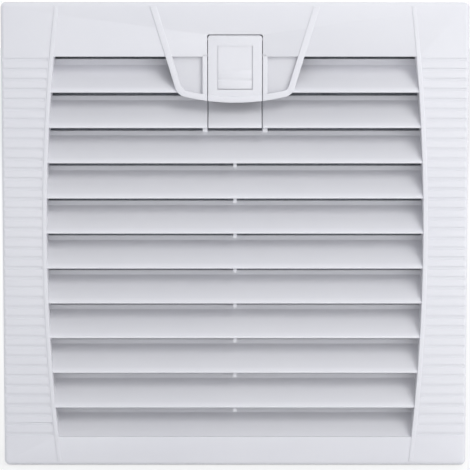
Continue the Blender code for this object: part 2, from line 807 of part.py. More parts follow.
def grip_cutters(tools):
    """A sunk field, left bare, over two finger bars."""
    top = LATCH_TOP - GRIP_TOP_DROP
    bm = bmesh.new()
    depth = (FRONT - OVERCUT, FRONT + GRIP_DEPTH)
    bar = (FRONT - OVERCUT, FRONT + 2 * GRIP_DEPTH)
    add_cube(bm, (-GRIP_HALF, GRIP_HALF), depth, (top - GRIP_FIELD, top))
    z = top - GRIP_FIELD - GRIP_BAR / 4
    for _ in range(3):
        add_cube(bm, (-GRIP_HALF, GRIP_HALF), bar, (z - GRIP_GROOVE, z))
        z -= GRIP_BAR
    return from_bmesh("grip", bm, tools)


def build_latch(parts, tools):
    flap = latch_plate(tools)
    parts.objects.link(flap)
    tools.objects.unlink(flap)
    louvre_half = LATCH_HALF - WELD / 4
    louvre = prism("latch_louvre", [blade_profile(LATCH_NOSE)], "X", -louvre_half, louvre_half, tools)
    join(flap, louvre, latch_rim(tools), *latch_sides(tools), latch_arm(tools))
    hole = rod(
        "latch_bore", (1, 0, 0), (-LATCH_HALF - OVERCUT, PIVOT_Y, PIVOT_Z), 2 * (LATCH_HALF + OVERCUT),
        LATCH_PIN_RADIUS + FIT_GAP, tools, sides=SMALL_SIDES,
    )
    cut(flap, grip_cutters(tools), hole)
    smooth(flap)
    pin = rod(
        "latch_pin", (1, 0, 0), (FIT_GAP - pin_reach(), PIVOT_Y, PIVOT_Z), 2 * (pin_reach() - FIT_GAP),
        LATCH_PIN_RADIUS, parts, sides=SMALL_SIDES,
    )
    smooth(pin)
    spring = coil_spring(
        "latch_spring", (0, spring_y()), PIVOT_Z - SHELF_DROP + FIT_GAP + SPRING_WIRE / 2,
        pad_z() - FIT_GAP - SPRING_WIRE / 2, parts,
    )
    return flap, pin, spring


def coil_spring(name, centre, low, high, collection):
    """A compression spring on a vertical axis, as a wire along a helix."""
    per_turn = 8
    steps = SPRING_TURNS * per_turn
    curve = bpy.data.curves.new(name, "CURVE")
    curve.dimensions = "3D"
    curve.bevel_depth = SPRING_WIRE / 2
    curve.bevel_resolution = 1
    curve.use_fill_caps = True
    spline = curve.splines.new("POLY")
    spline.points.add(steps)
    for i, point in enumerate(spline.points):
        angle = 2 * math.pi * i / per_turn
        point.co = (
            centre[0] + SPRING_RADIUS * math.cos(angle), centre[1] + SPRING_RADIUS * math.sin(angle),
            low + (high - low) * i / steps, 1,
        )
    obj = place(name, curve, collection)
    bpy.context.view_layer.update()
    spring = to_mesh(obj, collection)
    smooth(spring, 60)
    return spring


# Hinge


def hinge_places():
    return (-HINGE_X, HINGE_X)


def hinge_lugs(tools):
    """Lugs inside the cover's foot, from the front plate back to the hinge axis."""
    lugs = []
    for centre in hinge_places():
        outline = [(COVER_INSIDE - WELD, -SKIRT_INSIDE - WELD), (HINGE_Y, -SKIRT_INSIDE + HINGE_SIDE_GAP)]
        outline += arc((HINGE_Y, HINGE_Z), HINGE_KNUCKLE, -90, 90, 8)
        outline += [(COVER_INSIDE - WELD, HINGE_Z + HINGE_KNUCKLE)]
        lugs.append(
            prism(f"lug_{centre}", [outline], "X", centre - HINGE_LUG / 2, centre + HINGE_LUG / 2, tools)
        )
    return merge("hinge_lugs", lugs, tools)


def hinge_notches(tools):
    """Cut-outs in the skirt's back edge, where the housing's ears stand."""
    bm = bmesh.new()
    half = HINGE_LUG / 2 + HINGE_SIDE_GAP + HINGE_EAR + HINGE_SIDE_GAP
    for centre in hinge_places():
        for side in (1, -1):
            ends = sorted((centre + side * (HINGE_LUG / 2 + WELD / 4), centre + side * half))
            add_cube(bm, ends, (HINGE_Y - HINGE_KNUCKLE, OVERCUT), (-COVER_HALF - OVERCUT, HINGE_Z))
        add_cube(
            bm, (centre - HINGE_LUG / 2 - WELD / 8, centre + HINGE_LUG / 2 + WELD / 8),
            (HINGE_Y + HINGE_KNUCKLE + FIT_GAP, OVERCUT), (-COVER_HALF - OVERCUT, HINGE_Z),
        )
    return from_bmesh("hinge_notches", bm, tools)


def hinge_bores(tools):
    bm = bmesh.new()
    for centre in hinge_places():
        start = centre - HINGE_LUG / 2 - OVERCUT
        add_rod(
            bm, (1, 0, 0), (start, HINGE_Y, HINGE_Z), HINGE_LUG + 2 * OVERCUT,
            HINGE_PIN_RADIUS + FIT_GAP, sides=SMALL_SIDES,
        )
    return from_bmesh("hinge_bores", bm, tools)


def hinge_ears(tools):
    """An ear on each side of a lug, with a gusset up the flange's front."""
    ears = []
    back = FLANGE_BACK - WELD
    top = -FLANGE_BOTTOM + 3 * HINGE_KNUCKLE
    for centre in hinge_places():
        for side in (1, -1):
            near = HINGE_LUG / 2 + HINGE_SIDE_GAP
            ends = sorted((centre + side * near, centre + side * (near + HINGE_EAR)))
            outline = arc((HINGE_Y, HINGE_Z), HINGE_KNUCKLE, 180, 360, 8)
            outline += [
                (back, -FLANGE_BOTTOM - WELD), (back, top), (FLANGE_FRONT + WELD, top),
                (HINGE_Y - HINGE_KNUCKLE, HINGE_Z + HINGE_KNUCKLE),
            ]
            ears.append(prism(f"ear_{centre}_{side}", [outline], "X", *ends, tools))
    return merge("hinge_ears", ears, tools)


def hinge_pin_holes(tools):
    bm = bmesh.new()
    for centre in hinge_places():
        reach = HINGE_LUG / 2 + HINGE_SIDE_GAP + HINGE_EAR + OVERCUT
        start = (centre - reach, HINGE_Y, HINGE_Z)
        add_rod(bm, (1, 0, 0), start, 2 * reach, HINGE_PIN_RADIUS + FIT_GAP, sides=SMALL_SIDES)
    return from_bmesh("hinge_pin_holes", bm, tools)


def build_hinge_pins(parts):
    reach = HINGE_LUG / 2 + HINGE_SIDE_GAP + HINGE_EAR
    for word, centre in zip(("left", "right"), hinge_places()):
        pin = rod(
            f"hinge_pin_{word}", (1, 0, 0), (centre - reach, HINGE_Y, HINGE_Z), 2 * reach,
            HINGE_PIN_RADIUS, parts, sides=SMALL_SIDES,
        )
        smooth(pin)


# Housing


def flange_outline():
    return rounded_box((-FLANGE_HALF, FLANGE_HALF), (-FLANGE_BOTTOM, FLANGE_HALF), COVER_CORNER)


def screw_places():
    """The four fan screws, as (x, z)."""
    angle = math.radians(FAN_SCREW_ANGLE)
    x, z = FAN_SCREW_RADIUS * math.cos(angle), FAN_SCREW_RADIUS * math.sin(angle)
    return [(x, z), (-x, z), (-x, -z), (x, -z)]


def plate_ribs(tools):
    """Stiffening ribs on the back plate, from the fan's seat out to the walls."""
    bm = bmesh.new()
    outer = TRAY_HALF - TRAY_CORNER
    inner = FAN_RIM_RADIUS + FIT_GAP + RIB_WALL
    y = (TRAY_BACK - WELD, TRAY_BACK + RIB_HEIGHT)
    for side in (1, -1):
        ends = sorted((side * inner, side * outer))
        add_cube(bm, ends, y, (-RIB_WALL / 2, RIB_WALL / 2))
        ends = sorted((side * (FAN_FLAT + FIT_GAP + RIB_WALL), side * outer))
        add_cube(bm, (-RIB_WALL / 2, RIB_WALL / 2), y, ends)
    for x_side, z_side in ((1, 1), (-1, 1), (1, -1)):
        angle = math.atan2(z_side, x_side)
        end = math.sqrt(2) * outer
        length = end - inner - 2 * RIB_WALL
        turn = Matrix.Rotation(-angle, 4, "Y")
        centre = turn @ Vector(((inner + end) / 2, sum(y) / 2, 0))
        scale = Matrix.Diagonal((length, y[1] - y[0], RIB_WALL, 1))
        bmesh.ops.create_cube(bm, size=1, matrix=Matrix.Translation(centre) @ turn @ scale)
    return from_bmesh("plate_ribs", bm, tools)


def screw_bosses(tools):
    bm = bmesh.new()
    for x, z in screw_places():
        start = (x, PLATE_FRONT - BOSS_LENGTH, z)
        add_rod(bm, (0, 1, 0), start, BOSS_LENGTH + WELD, BOSS_RADIUS, sides=SMALL_SIDES)
    return from_bmesh("screw_bosses", bm, tools)


def screw_bores(tools):
    bm = bmesh.new()
    for x, z in screw_places():
        start = PLATE_FRONT - BOSS_LENGTH + OVERCUT
        length = TRAY_BACK - start + OVERCUT
        add_rod(bm, (0, 1, 0), (x, start, z), length, SCREW_RADIUS + FIT_GAP, sides=TINY_SIDES)
    return from_bmesh("screw_bores", bm, tools)


def clip_places():
    """Eight clips, two on each wall, as a turn about the fan's axis and a shift along the wall."""
    return [(turn, shift) for turn in (0, 90, 180, 270) for shift in (-CLIP_OFFSET, CLIP_OFFSET)]


def clip_matrix(turn):
    """Turns the +X wall's clip to another wall."""
    return Matrix.Rotation(-math.radians(turn), 4, "Y")


def clip_pockets(tools):
    bm = bmesh.new()
    for turn, shift in clip_places():
        before = set(bm.verts)
        half = CLIP_WIDTH / 2 + FIT_GAP
        add_cube(
            bm, (TRAY_HALF - CLIP_STEEL - FIT_GAP, TRAY_HALF + OVERCUT),
            (CLIP_FOOT_FRONT - FIT_GAP, CLIP_FOOT_FRONT + CLIP_FOOT_LENGTH + 2 * CLIP_STEEL + FIT_GAP),
            (shift - half, shift + half),
        )
        made = [v for v in bm.verts if v not in before]
        bmesh.ops.transform(bm, matrix=clip_matrix(turn), verts=made)
    return from_bmesh("clip_pockets", bm, tools)


def catch_pegs(radius, front, back):
    """The two pegs that hold the catch in the flange, or their holes."""
    bm = bmesh.new()
    z = (CATCH_LOW + CATCH_TOP) / 2
    for x in (-CATCH_PEG_OFFSET, CATCH_PEG_OFFSET):
        add_rod(bm, (0, 1, 0), (x, front, z), back - front, radius, sides=TINY_SIDES)
    return bm


def build_catch(parts, tools):
    """The hook over the latch's nose: a foot on the flange, a short beam and a lip in front."""
    back = FLANGE_FRONT - FIT_GAP
    front = nose_back() - NOSE_THICKNESS - FIT_GAP - CATCH_LIP
    beam = CATCH_TOP - CATCH_WALL
    outline = [
        (back, CATCH_LOW), (back, CATCH_TOP), (front, CATCH_TOP), (front, CATCH_LOW),
        (front + CATCH_LIP, CATCH_LOW), (front + CATCH_LIP, beam), (back - CATCH_WALL, beam),
        (back - CATCH_WALL, CATCH_LOW),
    ]
    catch = prism("latch_catch", [outline], "X", -CATCH_HALF, CATCH_HALF, parts)
    join(catch, from_bmesh("catch_pegs", catch_pegs(CATCH_PEG_RADIUS, back - WELD, FLANGE_BACK), tools))
    smooth(catch)
    return catch


def build_housing(parts, tools):
    frame = prism("housing_frame", [flange_outline()], "Y", FLANGE_FRONT, FLANGE_BACK, tools)
    parts.objects.link(frame)
    tools.objects.unlink(frame)
    tray = prism(
        "tray", [rounded_square(TRAY_HALF, TRAY_CORNER)], "Y", FLANGE_FRONT + WELD, TRAY_BACK, tools
    )
    bevel_edges(
        tray, RIB_WALL, 2,
        lambda edge: all(abs(v.co.y - TRAY_BACK) < SLIVER for v in edge.verts)
        and any(abs(face.normal.y) < 0.5 for face in edge.link_faces),
    )
    join(frame, tray, hinge_ears(tools))
    corner = TRAY_CORNER / 2
    front_room = prism(
        "mat_room", [rounded_square(TRAY_INSIDE, corner)], "Y", FLANGE_FRONT - OVERCUT, LEDGE_FRONT, tools
    )
    ledge_room = prism(
        "ledge_room", [rounded_square(TRAY_INSIDE - LEDGE_REACH, corner)], "Y",
        LEDGE_FRONT - WELD, LEDGE_FRONT + LEDGE_WALL + WELD, tools,
    )
    plenum = prism(
        "plenum", [rounded_square(TRAY_INSIDE, corner)], "Y", LEDGE_FRONT + LEDGE_WALL, PLATE_FRONT, tools
    )
    cut(frame, front_room, ledge_room, plenum)
    inlet = rod(
        "fan_opening", (0, 1, 0), (0, PLATE_FRONT - OVERCUT, 0), BACK_PLATE + 2 * OVERCUT, PLATE_OPENING,
        tools, sides=FAN_SIDES,
    )
    peg_holes = catch_pegs(CATCH_PEG_RADIUS + FIT_GAP, FLANGE_FRONT - OVERCUT, FLANGE_BACK + OVERCUT)
    join(frame, screw_bosses(tools), plate_ribs(tools))
    cut(frame, inlet, screw_bores(tools), clip_pockets(tools), hinge_pin_holes(tools))
    cut(frame, from_bmesh("catch_peg_holes", peg_holes, tools))
    smooth(frame)
    return frame


def build_seal(parts):
    half = CUTOUT_HALF + FIT_GAP
    outlines = [rounded_square(half + SEAL_WIDTH, COVER_CORNER), rounded_square(half, COVER_CORNER / 2)]
    return prism("panel_seal", outlines, "Y", -SEAL_THICKNESS, 0, parts)


def build_mat(parts):
    outline = rounded_square(TRAY_INSIDE - FIT_GAP, TRAY_CORNER / 2)
    return prism("filter_mat", [outline], "Y", MAT_FRONT, MAT_FRONT + MAT_THICKNESS, parts)


def build_grid(parts):
    """Square-celled grid that the mat lies on."""
    half = TRAY_INSIDE - FIT_GAP
    inner = half - GRID_BORDER
    cell = (2 * inner - (GRID_CELLS - 1) * GRID_BAR) / GRID_CELLS
    outlines = [rounded_square(half, TRAY_CORNER / 2)]
    for row in range(GRID_CELLS):
        for column in range(GRID_CELLS):
            x = -inner + column * (cell + GRID_BAR)
            z = -inner + row * (cell + GRID_BAR)
            outlines.append([(x, z), (x + cell, z), (x + cell, z + cell), (x, z + cell)])
    return prism("support_grid", outlines, "Y", GRID_FRONT, GRID_FRONT + GRID_THICKNESS, parts)


def strip_outline(points, thickness):
    """A strip of even thickness along a bent line, to the line's right."""
    offset = []
    for i, point in enumerate(points):
        before = Vector(points[max(i - 1, 0)])
        after = Vector(points[min(i + 1, len(points) - 1)])
        into = (Vector(point) - before).normalized() if i else None
        out = (after - Vector(point)).normalized() if i < len(points) - 1 else None
        into, out = into or out, out or into
        middle = (into + out).normalized()
        normal = Vector((middle.y, -middle.x))
        width = thickness / normal.dot(Vector((into.y, -into.x)))
        offset.append(tuple(Vector(point) + normal * width))
    return list(points) + offset[::-1]


def build_clips(parts):
    """Folded steel clips: a foot in the wall's pocket and a leaf that springs out behind the panel."""
    foot_end = CLIP_FOOT_FRONT + CLIP_FOOT_LENGTH
    foot = TRAY_HALF - CLIP_STEEL
    tip = TRAY_HALF + CLIP_REACH
    line = [
        (CLIP_FOOT_FRONT, foot), (foot_end, foot), (foot_end + CLIP_STEEL, foot + CLIP_STEEL / 2),
        (foot_end + CLIP_STEEL, foot + 2 * CLIP_STEEL), (foot_end, foot + 3 * CLIP_STEEL),
        (PANEL_ROOM + 2 * CLIP_STEEL, tip), (PANEL_ROOM, tip - CLIP_STEEL),
    ]
    outline = [(x, y) for y, x in strip_outline(line, -CLIP_STEEL)]
    for i, (turn, shift) in enumerate(clip_places()):
        name = f"spring_clip_{i + 1}"
        clip = vertical_prism(name, outline, shift - CLIP_WIDTH / 2, shift + CLIP_WIDTH / 2, parts)
        clip.data.transform(clip_matrix(turn))


def vertical_prism(name, outline, low, high, collection):
    """A flat outline in (x, y) made thick along Z."""
    curve = bpy.data.curves.new(name, "CURVE")
    curve.dimensions = "2D"
    curve.fill_mode = "BOTH"
    curve.extrude = (high - low) / 2
    spline = curve.splines.new("POLY")
    spline.points.add(len(outline) - 1)
    for point, (x, y) in zip(spline.points, outline):
        point.co = (x, y, 0, 1)
    spline.use_cyclic_u = True
    obj = place(name, curve, collection)
    obj.location.z = (low + high) / 2
    bpy.context.view_layer.update()
    return to_mesh(obj, collection)


# Fan


def flatted(outline_radius, steps=10):
    """A circle cut off by the two flats of the fan frame."""
    limit = math.degrees(math.asin(FAN_FLAT / outline_radius))
    right = arc((0, 0), outline_radius, -limit, limit, steps)
    left = arc((0, 0), outline_radius, 180 - limit, 180 + limit, steps)
    return right + left


def spider_outline():
    """Hub plate with an arm to the ring's bore between each two windows, as one outline."""
    pitch = 360 / STRUT_COUNT
    reach = FAN_BORE * math.cos(math.pi / FAN_SIDES) - FIT_GAP
    far = math.degrees(math.asin(STRUT_WIDTH / 2 / reach))
    near = math.degrees(math.asin(STRUT_WIDTH / 2 / HUB_PLATE_RADIUS))
    points = []
    for i in range(STRUT_COUNT):
        middle = pitch * (i + 0.5)
        points += arc((0, 0), reach, middle - far, middle + far, 2)
        points += arc((0, 0), HUB_PLATE_RADIUS, middle + near, middle + pitch - near, 7)
    return points


def build_fan_frame(parts, tools):
    """Die-cast ring with two flats: inlet flange, tube and rear flange."""
    frame = prism("fan_frame", [flatted(FAN_RIM_RADIUS)], "Y", FAN_FRONT, FAN_FRONT + FAN_FLANGE, tools)
    parts.objects.link(frame)
    tools.objects.unlink(frame)
    start = (0, FAN_FRONT + WELD, 0)
    outside = FAN_BORE + FAN_TUBE_WALL
    tube = rod("fan_tube", (0, 1, 0), start, FAN_DEPTH - 2 * WELD, outside, tools, sides=FAN_SIDES)
    rear = prism("rear_flange", [flatted(FAN_RIM_RADIUS)], "Y", FAN_BACK - FAN_FLANGE, FAN_BACK, tools)
    join(frame, tube)
    join(frame, rear)
    cut(frame, turned_bore(tools), frame_screw_holes(tools))
    smooth(frame)
    return frame


def build_spider(parts, tools):
    """Spider that carries the motor: hub plate, four arms seated in the ring, bearing tube."""
    plate_y = FAN_BACK - STRUT_THICKNESS
    spider = prism("fan_spider", [spider_outline()], "Y", plate_y, FAN_BACK, tools)
    parts.objects.link(spider)
    tools.objects.unlink(spider)
    length = plate_y - tube_front() + WELD
    start = (0, tube_front(), 0)
    tube = rod("bearing_tube", (0, 1, 0), start, length, BEARING_TUBE_RADIUS, tools, sides=SMALL_SIDES)
    join(spider, tube)
    seat = rod(
        "bearing_seat", (0, 1, 0), (0, tube_front() - OVERCUT, 0), FAN_BACK - tube_front() + 2 * OVERCUT,
        BEARING_TUBE_RADIUS - BEARING_TUBE_WALL, tools, sides=SMALL_SIDES,
    )
    cut(spider, seat)
    smooth(spider)
    return spider


def turned_bore(tools):
    """Cutter for the air passage, flared at its inlet."""
    start, end = FAN_FRONT - OVERCUT, FAN_BACK + OVERCUT
    profile = [
        (0.0, start), (FAN_BORE + 2 * FAN_INLET_FLARE, start), (FAN_BORE + FAN_INLET_FLARE, FAN_FRONT),
        (FAN_BORE, FAN_FRONT + FAN_FLANGE), (FAN_BORE, end), (0.0, end),
    ]
    return turned("fan_bore", profile, tools, FAN_SIDES)


def frame_screw_holes(tools):
    bm = bmesh.new()
    for x, z in screw_places():
        start = (x, FAN_FRONT - OVERCUT, z)
        add_rod(bm, (0, 1, 0), start, FAN_DEPTH + 2 * OVERCUT, SCREW_RADIUS + FIT_GAP, sides=TINY_SIDES)
    return from_bmesh("frame_screw_holes", bm, tools)


# Levels of the motor along Y


def stator_back():
    return FAN_BACK - STRUT_THICKNESS - ROTOR_REAR_GAP - WINDING_THICKNESS - FIT_GAP


def stator_front():
    return stator_back() - STATOR_LENGTH


def tube_front():
    return stator_front() - WINDING_THICKNESS - FIT_GAP


def rotor_front():
    return tube_front() - ROTOR_FRONT


def rotor_back():
    return FAN_BACK - STRUT_THICKNESS - ROTOR_REAR_GAP


def ring(name, inner, outer, front, back, collection, sides=ROUND_SIDES):
    """A plain ring on the fan's axis."""
    profile = [(inner, front), (outer, front), (outer, back), (inner, back)]
    obj = turned(name, profile, collection, sides)
    smooth(obj)
    return obj


def build_motor(parts):
    tube_outside = BEARING_TUBE_RADIUS + FIT_GAP
    ring("motor_stator", tube_outside, STATOR_RADIUS, stator_front(), stator_back(), parts)
    winding_outer = STATOR_RADIUS - 2 * ROTOR_GAP
    winding_inner = tube_outside + 2 * ROTOR_GAP
    ring(
        "winding_front", winding_inner, winding_outer, stator_front() - FIT_GAP - WINDING_THICKNESS,
        stator_front() - FIT_GAP, parts,
    )
    ring(
        "winding_rear", winding_inner, winding_outer, stator_back() + FIT_GAP,
        stator_back() + WINDING_THICKNESS, parts,
    )
    bearing_outer = BEARING_TUBE_RADIUS - BEARING_TUBE_WALL - FIT_GAP
    bearing_inner = SHAFT_RADIUS + FIT_GAP
    front = tube_front()
    ring("bearing_front", bearing_inner, bearing_outer, front, front + BEARING_WIDTH, parts, SMALL_SIDES)
    rear = FAN_BACK - STRUT_THICKNESS
    ring("bearing_rear", bearing_inner, bearing_outer, rear - BEARING_WIDTH, rear, parts, SMALL_SIDES)


def build_rotor(parts, tools):
    """Shaft, steel rotor cup and the bladed sleeve pressed over it."""
    front, back = rotor_front(), rotor_back()
    inner = STATOR_RADIUS + ROTOR_GAP
    floor = front + ROTOR_WALL
    shaft_hole = SHAFT_RADIUS + FIT_GAP
    boss = shaft_hole + 2 * ROTOR_WALL
    boss_end = tube_front() - ROTOR_WALL
    profile = [
        (shaft_hole, front), (inner, front), (ROTOR_RADIUS, front + ROTOR_WALL), (ROTOR_RADIUS, back),
        (inner, back), (inner, floor), (boss, floor), (boss, boss_end), (shaft_hole, boss_end),
    ]
    cup = turned("rotor_cup", profile, parts)
    smooth(cup)
    shaft_back = FAN_BACK - STRUT_THICKNESS / 2
    start = (0, front, 0)
    shaft = rod("motor_shaft", (0, 1, 0), start, shaft_back - front, SHAFT_RADIUS, parts, sides=SMALL_SIDES)
    smooth(shaft)
    clip_y = FAN_BACK - STRUT_THICKNESS + FIT_GAP
    ring(
        "retaining_ring", SHAFT_RADIUS + FIT_GAP, SHAFT_RADIUS + 2 * ROTOR_WALL / 3 + FIT_GAP, clip_y,
        clip_y + ROTOR_WALL / 2, parts, SMALL_SIDES,
    )
    build_impeller(parts, tools, front + 2 * ROTOR_WALL, back)
    return cup


def fan_blade(bm, turn, front, back):
    """One blade as a twisted sheet from the sleeve to the tip, lofted over five stations."""
    root = SLEEVE_RADIUS - SLEEVE_WALL / 2
    tip = FAN_BORE - BLADE_TIP_GAP
    stations, across = 4, 6
    margin = (back - front) * FAN_BLADE_MARGIN
    rows = []
    for i in range(stations):
        share = i / (stations - 1)
        radius = root + (tip - root) * share
        sweep = FAN_BLADE_HUB_SWEEP + (FAN_BLADE_TIP_SWEEP - FAN_BLADE_HUB_SWEEP) * share
        lead = turn + FAN_BLADE_LEAN * share * share - sweep / 2
        depth = (back - front - 2 * margin) * (1 - FAN_BLADE_TAPER * share)
        row = []
        for j in range(across):
            along = j / (across - 1)
            angle = math.radians(lead + sweep * along)
            camber = math.sin(math.pi * along) * FAN_BLADE_CAMBER * depth
            y = front + margin + depth * along + camber + (back - front) * FAN_BLADE_RAKE * share
            row.append(bm.verts.new((radius * math.cos(angle), y, radius * math.sin(angle))))
        rows.append(row)
    for low, high in zip(rows, rows[1:]):
        for j in range(across - 1):
            bm.faces.new((low[j], low[j + 1], high[j + 1], high[j]))


def build_impeller(parts, tools, front, back):
    inner = ROTOR_RADIUS + FIT_GAP
    profile = [(inner, front), (SLEEVE_RADIUS, front), (SLEEVE_RADIUS, back), (inner, back)]
    impeller = turned("impeller", profile, tools)
    parts.objects.link(impeller)
    tools.objects.unlink(impeller)
    bm = bmesh.new()
    for i in range(FAN_BLADES):
        fan_blade(bm, 360 * i / FAN_BLADES, front, back)
    blades = from_bmesh("fan_blades", bm, tools)
    thick = blades.modifiers.new("thickness", "SOLIDIFY")
    thick.thickness = FAN_BLADE_WALL
    thick.offset = 0
    join(impeller, blades)
    smooth(impeller, 40)
    return impeller


def screw(name, place_at, start, seat, radius, head_radius, head_height, parts, tools):
    """A pan-head screw along Y: shank and head turned in one, with a cross recess."""
    profile = [
        (0.0, start), (radius, start), (radius, seat), (head_radius, seat),
        (head_radius, seat + head_height * SCREW_HEAD_SIDE),
        (head_radius * SCREW_HEAD_TOP, seat + head_height), (0.0, seat + head_height),
    ]
    made = turned(name, profile, parts, TINY_SIDES)
    made.data.transform(Matrix.Translation((place_at[0], 0, place_at[1])))
    recess_size = head_radius * RECESS_REACH
    top = (place_at[0], seat + head_height, place_at[1])
    cut(made, cross_recess(f"{name}_recess", top, recess_size, tools))
    smooth(made)
    return made


def build_screws(parts, tools):
    """Four long screws through the guard, both fan flanges and into the housing's bosses."""
    head_seat = FAN_BACK + GUARD_WIRE + 2 * FIT_GAP
    start = PLATE_FRONT - BOSS_LENGTH + OVERCUT + FIT_GAP
    for i, spot in enumerate(screw_places()):
        screw(
            f"fan_screw_{i + 1}", spot, start, head_seat, SCREW_RADIUS, SCREW_HEAD_RADIUS,
            SCREW_HEAD_HEIGHT, parts, tools,
        )


def cross_recess(name, top, size, tools):
    """Cross-shaped recess in a screw head that faces +Y."""
    arm, width = size, size * RECESS_WIDTH
    tip = width * 0.8
    quarter = [(width, width), (tip, arm), (-tip, arm)]
    outline = []
    for turn in range(4):
        for x, z in quarter:
            for _ in range(turn):
                x, z = -z, x
            outline.append((x, z))
    outline = [(top[0] + x, top[2] + z) for x, z in outline]
    return prism(name, [outline], "Y", top[1] - size * RECESS_DEPTH, top[1] + OVERCUT, tools)


# Finger guard


def wire_ring(bm, radius, y, wire, around=20, sides=5):
    """A round wire bent to a ring about the fan's axis."""
    rows = []
    for i in range(around):
        angle = 2 * math.pi * i / around
        row = []
        for j in range(sides):
            turn = 2 * math.pi * j / sides
            r = radius + wire / 2 * math.cos(turn)
            height = y + wire / 2 * math.sin(turn)
            row.append(bm.verts.new((r * math.cos(angle), height, r * math.sin(angle))))
        rows.append(row)
    for i in range(around):
        low, high = rows[i], rows[(i + 1) % around]
        for j in range(sides):
            k = (j + 1) % sides
            bm.faces.new((low[j], low[k], high[k], high[j]))
    bmesh.ops.recalc_face_normals(bm, faces=bm.faces)


def build_guard(parts, tools):
    """Wire rings on four radial wires, which end in flat eyes under the screws."""
    spoke_y = FAN_BACK + FIT_GAP + GUARD_WIRE / 2
    ring_y = spoke_y + 0.8 * GUARD_WIRE
    outer = FAN_BORE - GUARD_EDGE_GAP
    step = (outer - GUARD_INNER_RADIUS) / (GUARD_RINGS - 1)
    bm = bmesh.new()
    for i in range(GUARD_RINGS):
        wire_ring(bm, GUARD_INNER_RADIUS + i * step, ring_y, GUARD_WIRE)
    rings = from_bmesh("guard_rings", bm, tools)
    eye = SCREW_RADIUS + FIT_GAP
    spokes, eyes, holes = bmesh.new(), bmesh.new(), bmesh.new()
    for x, z in screw_places():
        direction = Vector((x, 0, z)).normalized()
        start = direction * (GUARD_INNER_RADIUS - GUARD_WIRE) + Vector((0, spoke_y, 0))
        length = math.hypot(x, z) - eye - (GUARD_INNER_RADIUS - GUARD_WIRE)
        add_rod(spokes, direction, start, length, GUARD_WIRE / 2, sides=6)
        flat = GUARD_WIRE - WELD / 2
        add_rod(eyes, (0, 1, 0), (x, spoke_y - flat / 2, z), flat, eye + GUARD_WIRE, sides=SMALL_SIDES)
        add_rod(holes, (0, 1, 0), (x, spoke_y - OVERCUT, z), 2 * OVERCUT, eye, sides=TINY_SIDES)
    guard = from_bmesh("finger_guard", spokes, parts)
    join(guard, rings, from_bmesh("guard_eyes", eyes, tools))
    cut(guard, from_bmesh("guard_eye_holes", holes, tools))
    smooth(guard, 50)
    return guard


# Terminal box


def box_bounds():
    """Outside of the terminal box: it stands in the back plate's lower left corner."""
    low = -TRAY_HALF + BOX_EDGE_GAP
    front = TRAY_BACK + FIT_GAP
    return (low, low + BOX_WIDTH), (front, front + BOX_DEPTH), (low, low + BOX_HEIGHT)


def lid_screw_places():
    x, _, z = box_bounds()
    inset = 2 * BOX_WALL + LID_SCREW_RADIUS
    return [(x[0] + inset, z[0] + inset), (x[1] - inset, z[1] - inset)]


def build_terminal_box(parts, tools):
    x, y, z = box_bounds()
    case = prism("terminal_box", [rounded_box(x, z, BOX_WALL)], "Y", *y, tools)
    parts.objects.link(case)
    tools.objects.unlink(case)
    inner_x = (x[0] + BOX_WALL, x[1] - BOX_WALL)
    inner_z = (z[0] + BOX_WALL, z[1] - BOX_WALL)
    room = box("box_room", inner_x, (y[0] + BOX_WALL, y[1] + OVERCUT), inner_z, tools)
    posts, holes = bmesh.new(), bmesh.new()
    post = LID_SCREW_RADIUS + FIT_GAP + BOX_WALL
    for px, pz in lid_screw_places():
        add_rod(posts, (0, 1, 0), (px, y[0] + WELD, pz), BOX_DEPTH - 2 * WELD, post, sides=12)
        start = (px, sum(y) / 2, pz)
        add_rod(holes, (0, 1, 0), start, BOX_DEPTH, LID_SCREW_RADIUS + FIT_GAP, sides=TINY_SIDES)
    cut(case, room)
    join(case, from_bmesh("box_posts", posts, tools))
    middle = (sum(y) / 2, sum(z) / 2)
    gland_hole = rod(
        "gland_hole", (1, 0, 0), (inner_x[1] - OVERCUT, *middle), BOX_WALL + 2 * OVERCUT,
        GLAND_NECK + FIT_GAP, tools, sides=SMALL_SIDES,
    )
    cut(case, from_bmesh("box_screw_holes", holes, tools), gland_hole)
    smooth(case)

    lid_top = y[1] + FIT_GAP + LID_THICKNESS
    lid = prism("terminal_lid", [rounded_box(x, z, BOX_WALL)], "Y", y[1] + FIT_GAP, lid_top, tools)
    parts.objects.link(lid)
    tools.objects.unlink(lid)
    lid_holes = bmesh.new()
    for px, pz in lid_screw_places():
        start = (px, y[1] - OVERCUT, pz)
        length = 2 * OVERCUT + 2 * LID_THICKNESS
        add_rod(lid_holes, (0, 1, 0), start, length, LID_SCREW_RADIUS + FIT_GAP, sides=TINY_SIDES)
    cut(lid, from_bmesh("lid_holes", lid_holes, tools))
    smooth(lid)
    start = (y[0] + y[1]) / 2 + FIT_GAP
    for i, spot in enumerate(lid_screw_places()):
        screw(
            f"lid_screw_{i + 1}", spot, start, lid_top + FIT_GAP, LID_SCREW_RADIUS,
            1.9 * LID_SCREW_RADIUS, LID_SCREW_RADIUS, parts, tools,
        )
    build_terminal_block(parts, tools, inner_x, y, inner_z)
    build_gland(parts, tools, x[1], middle)


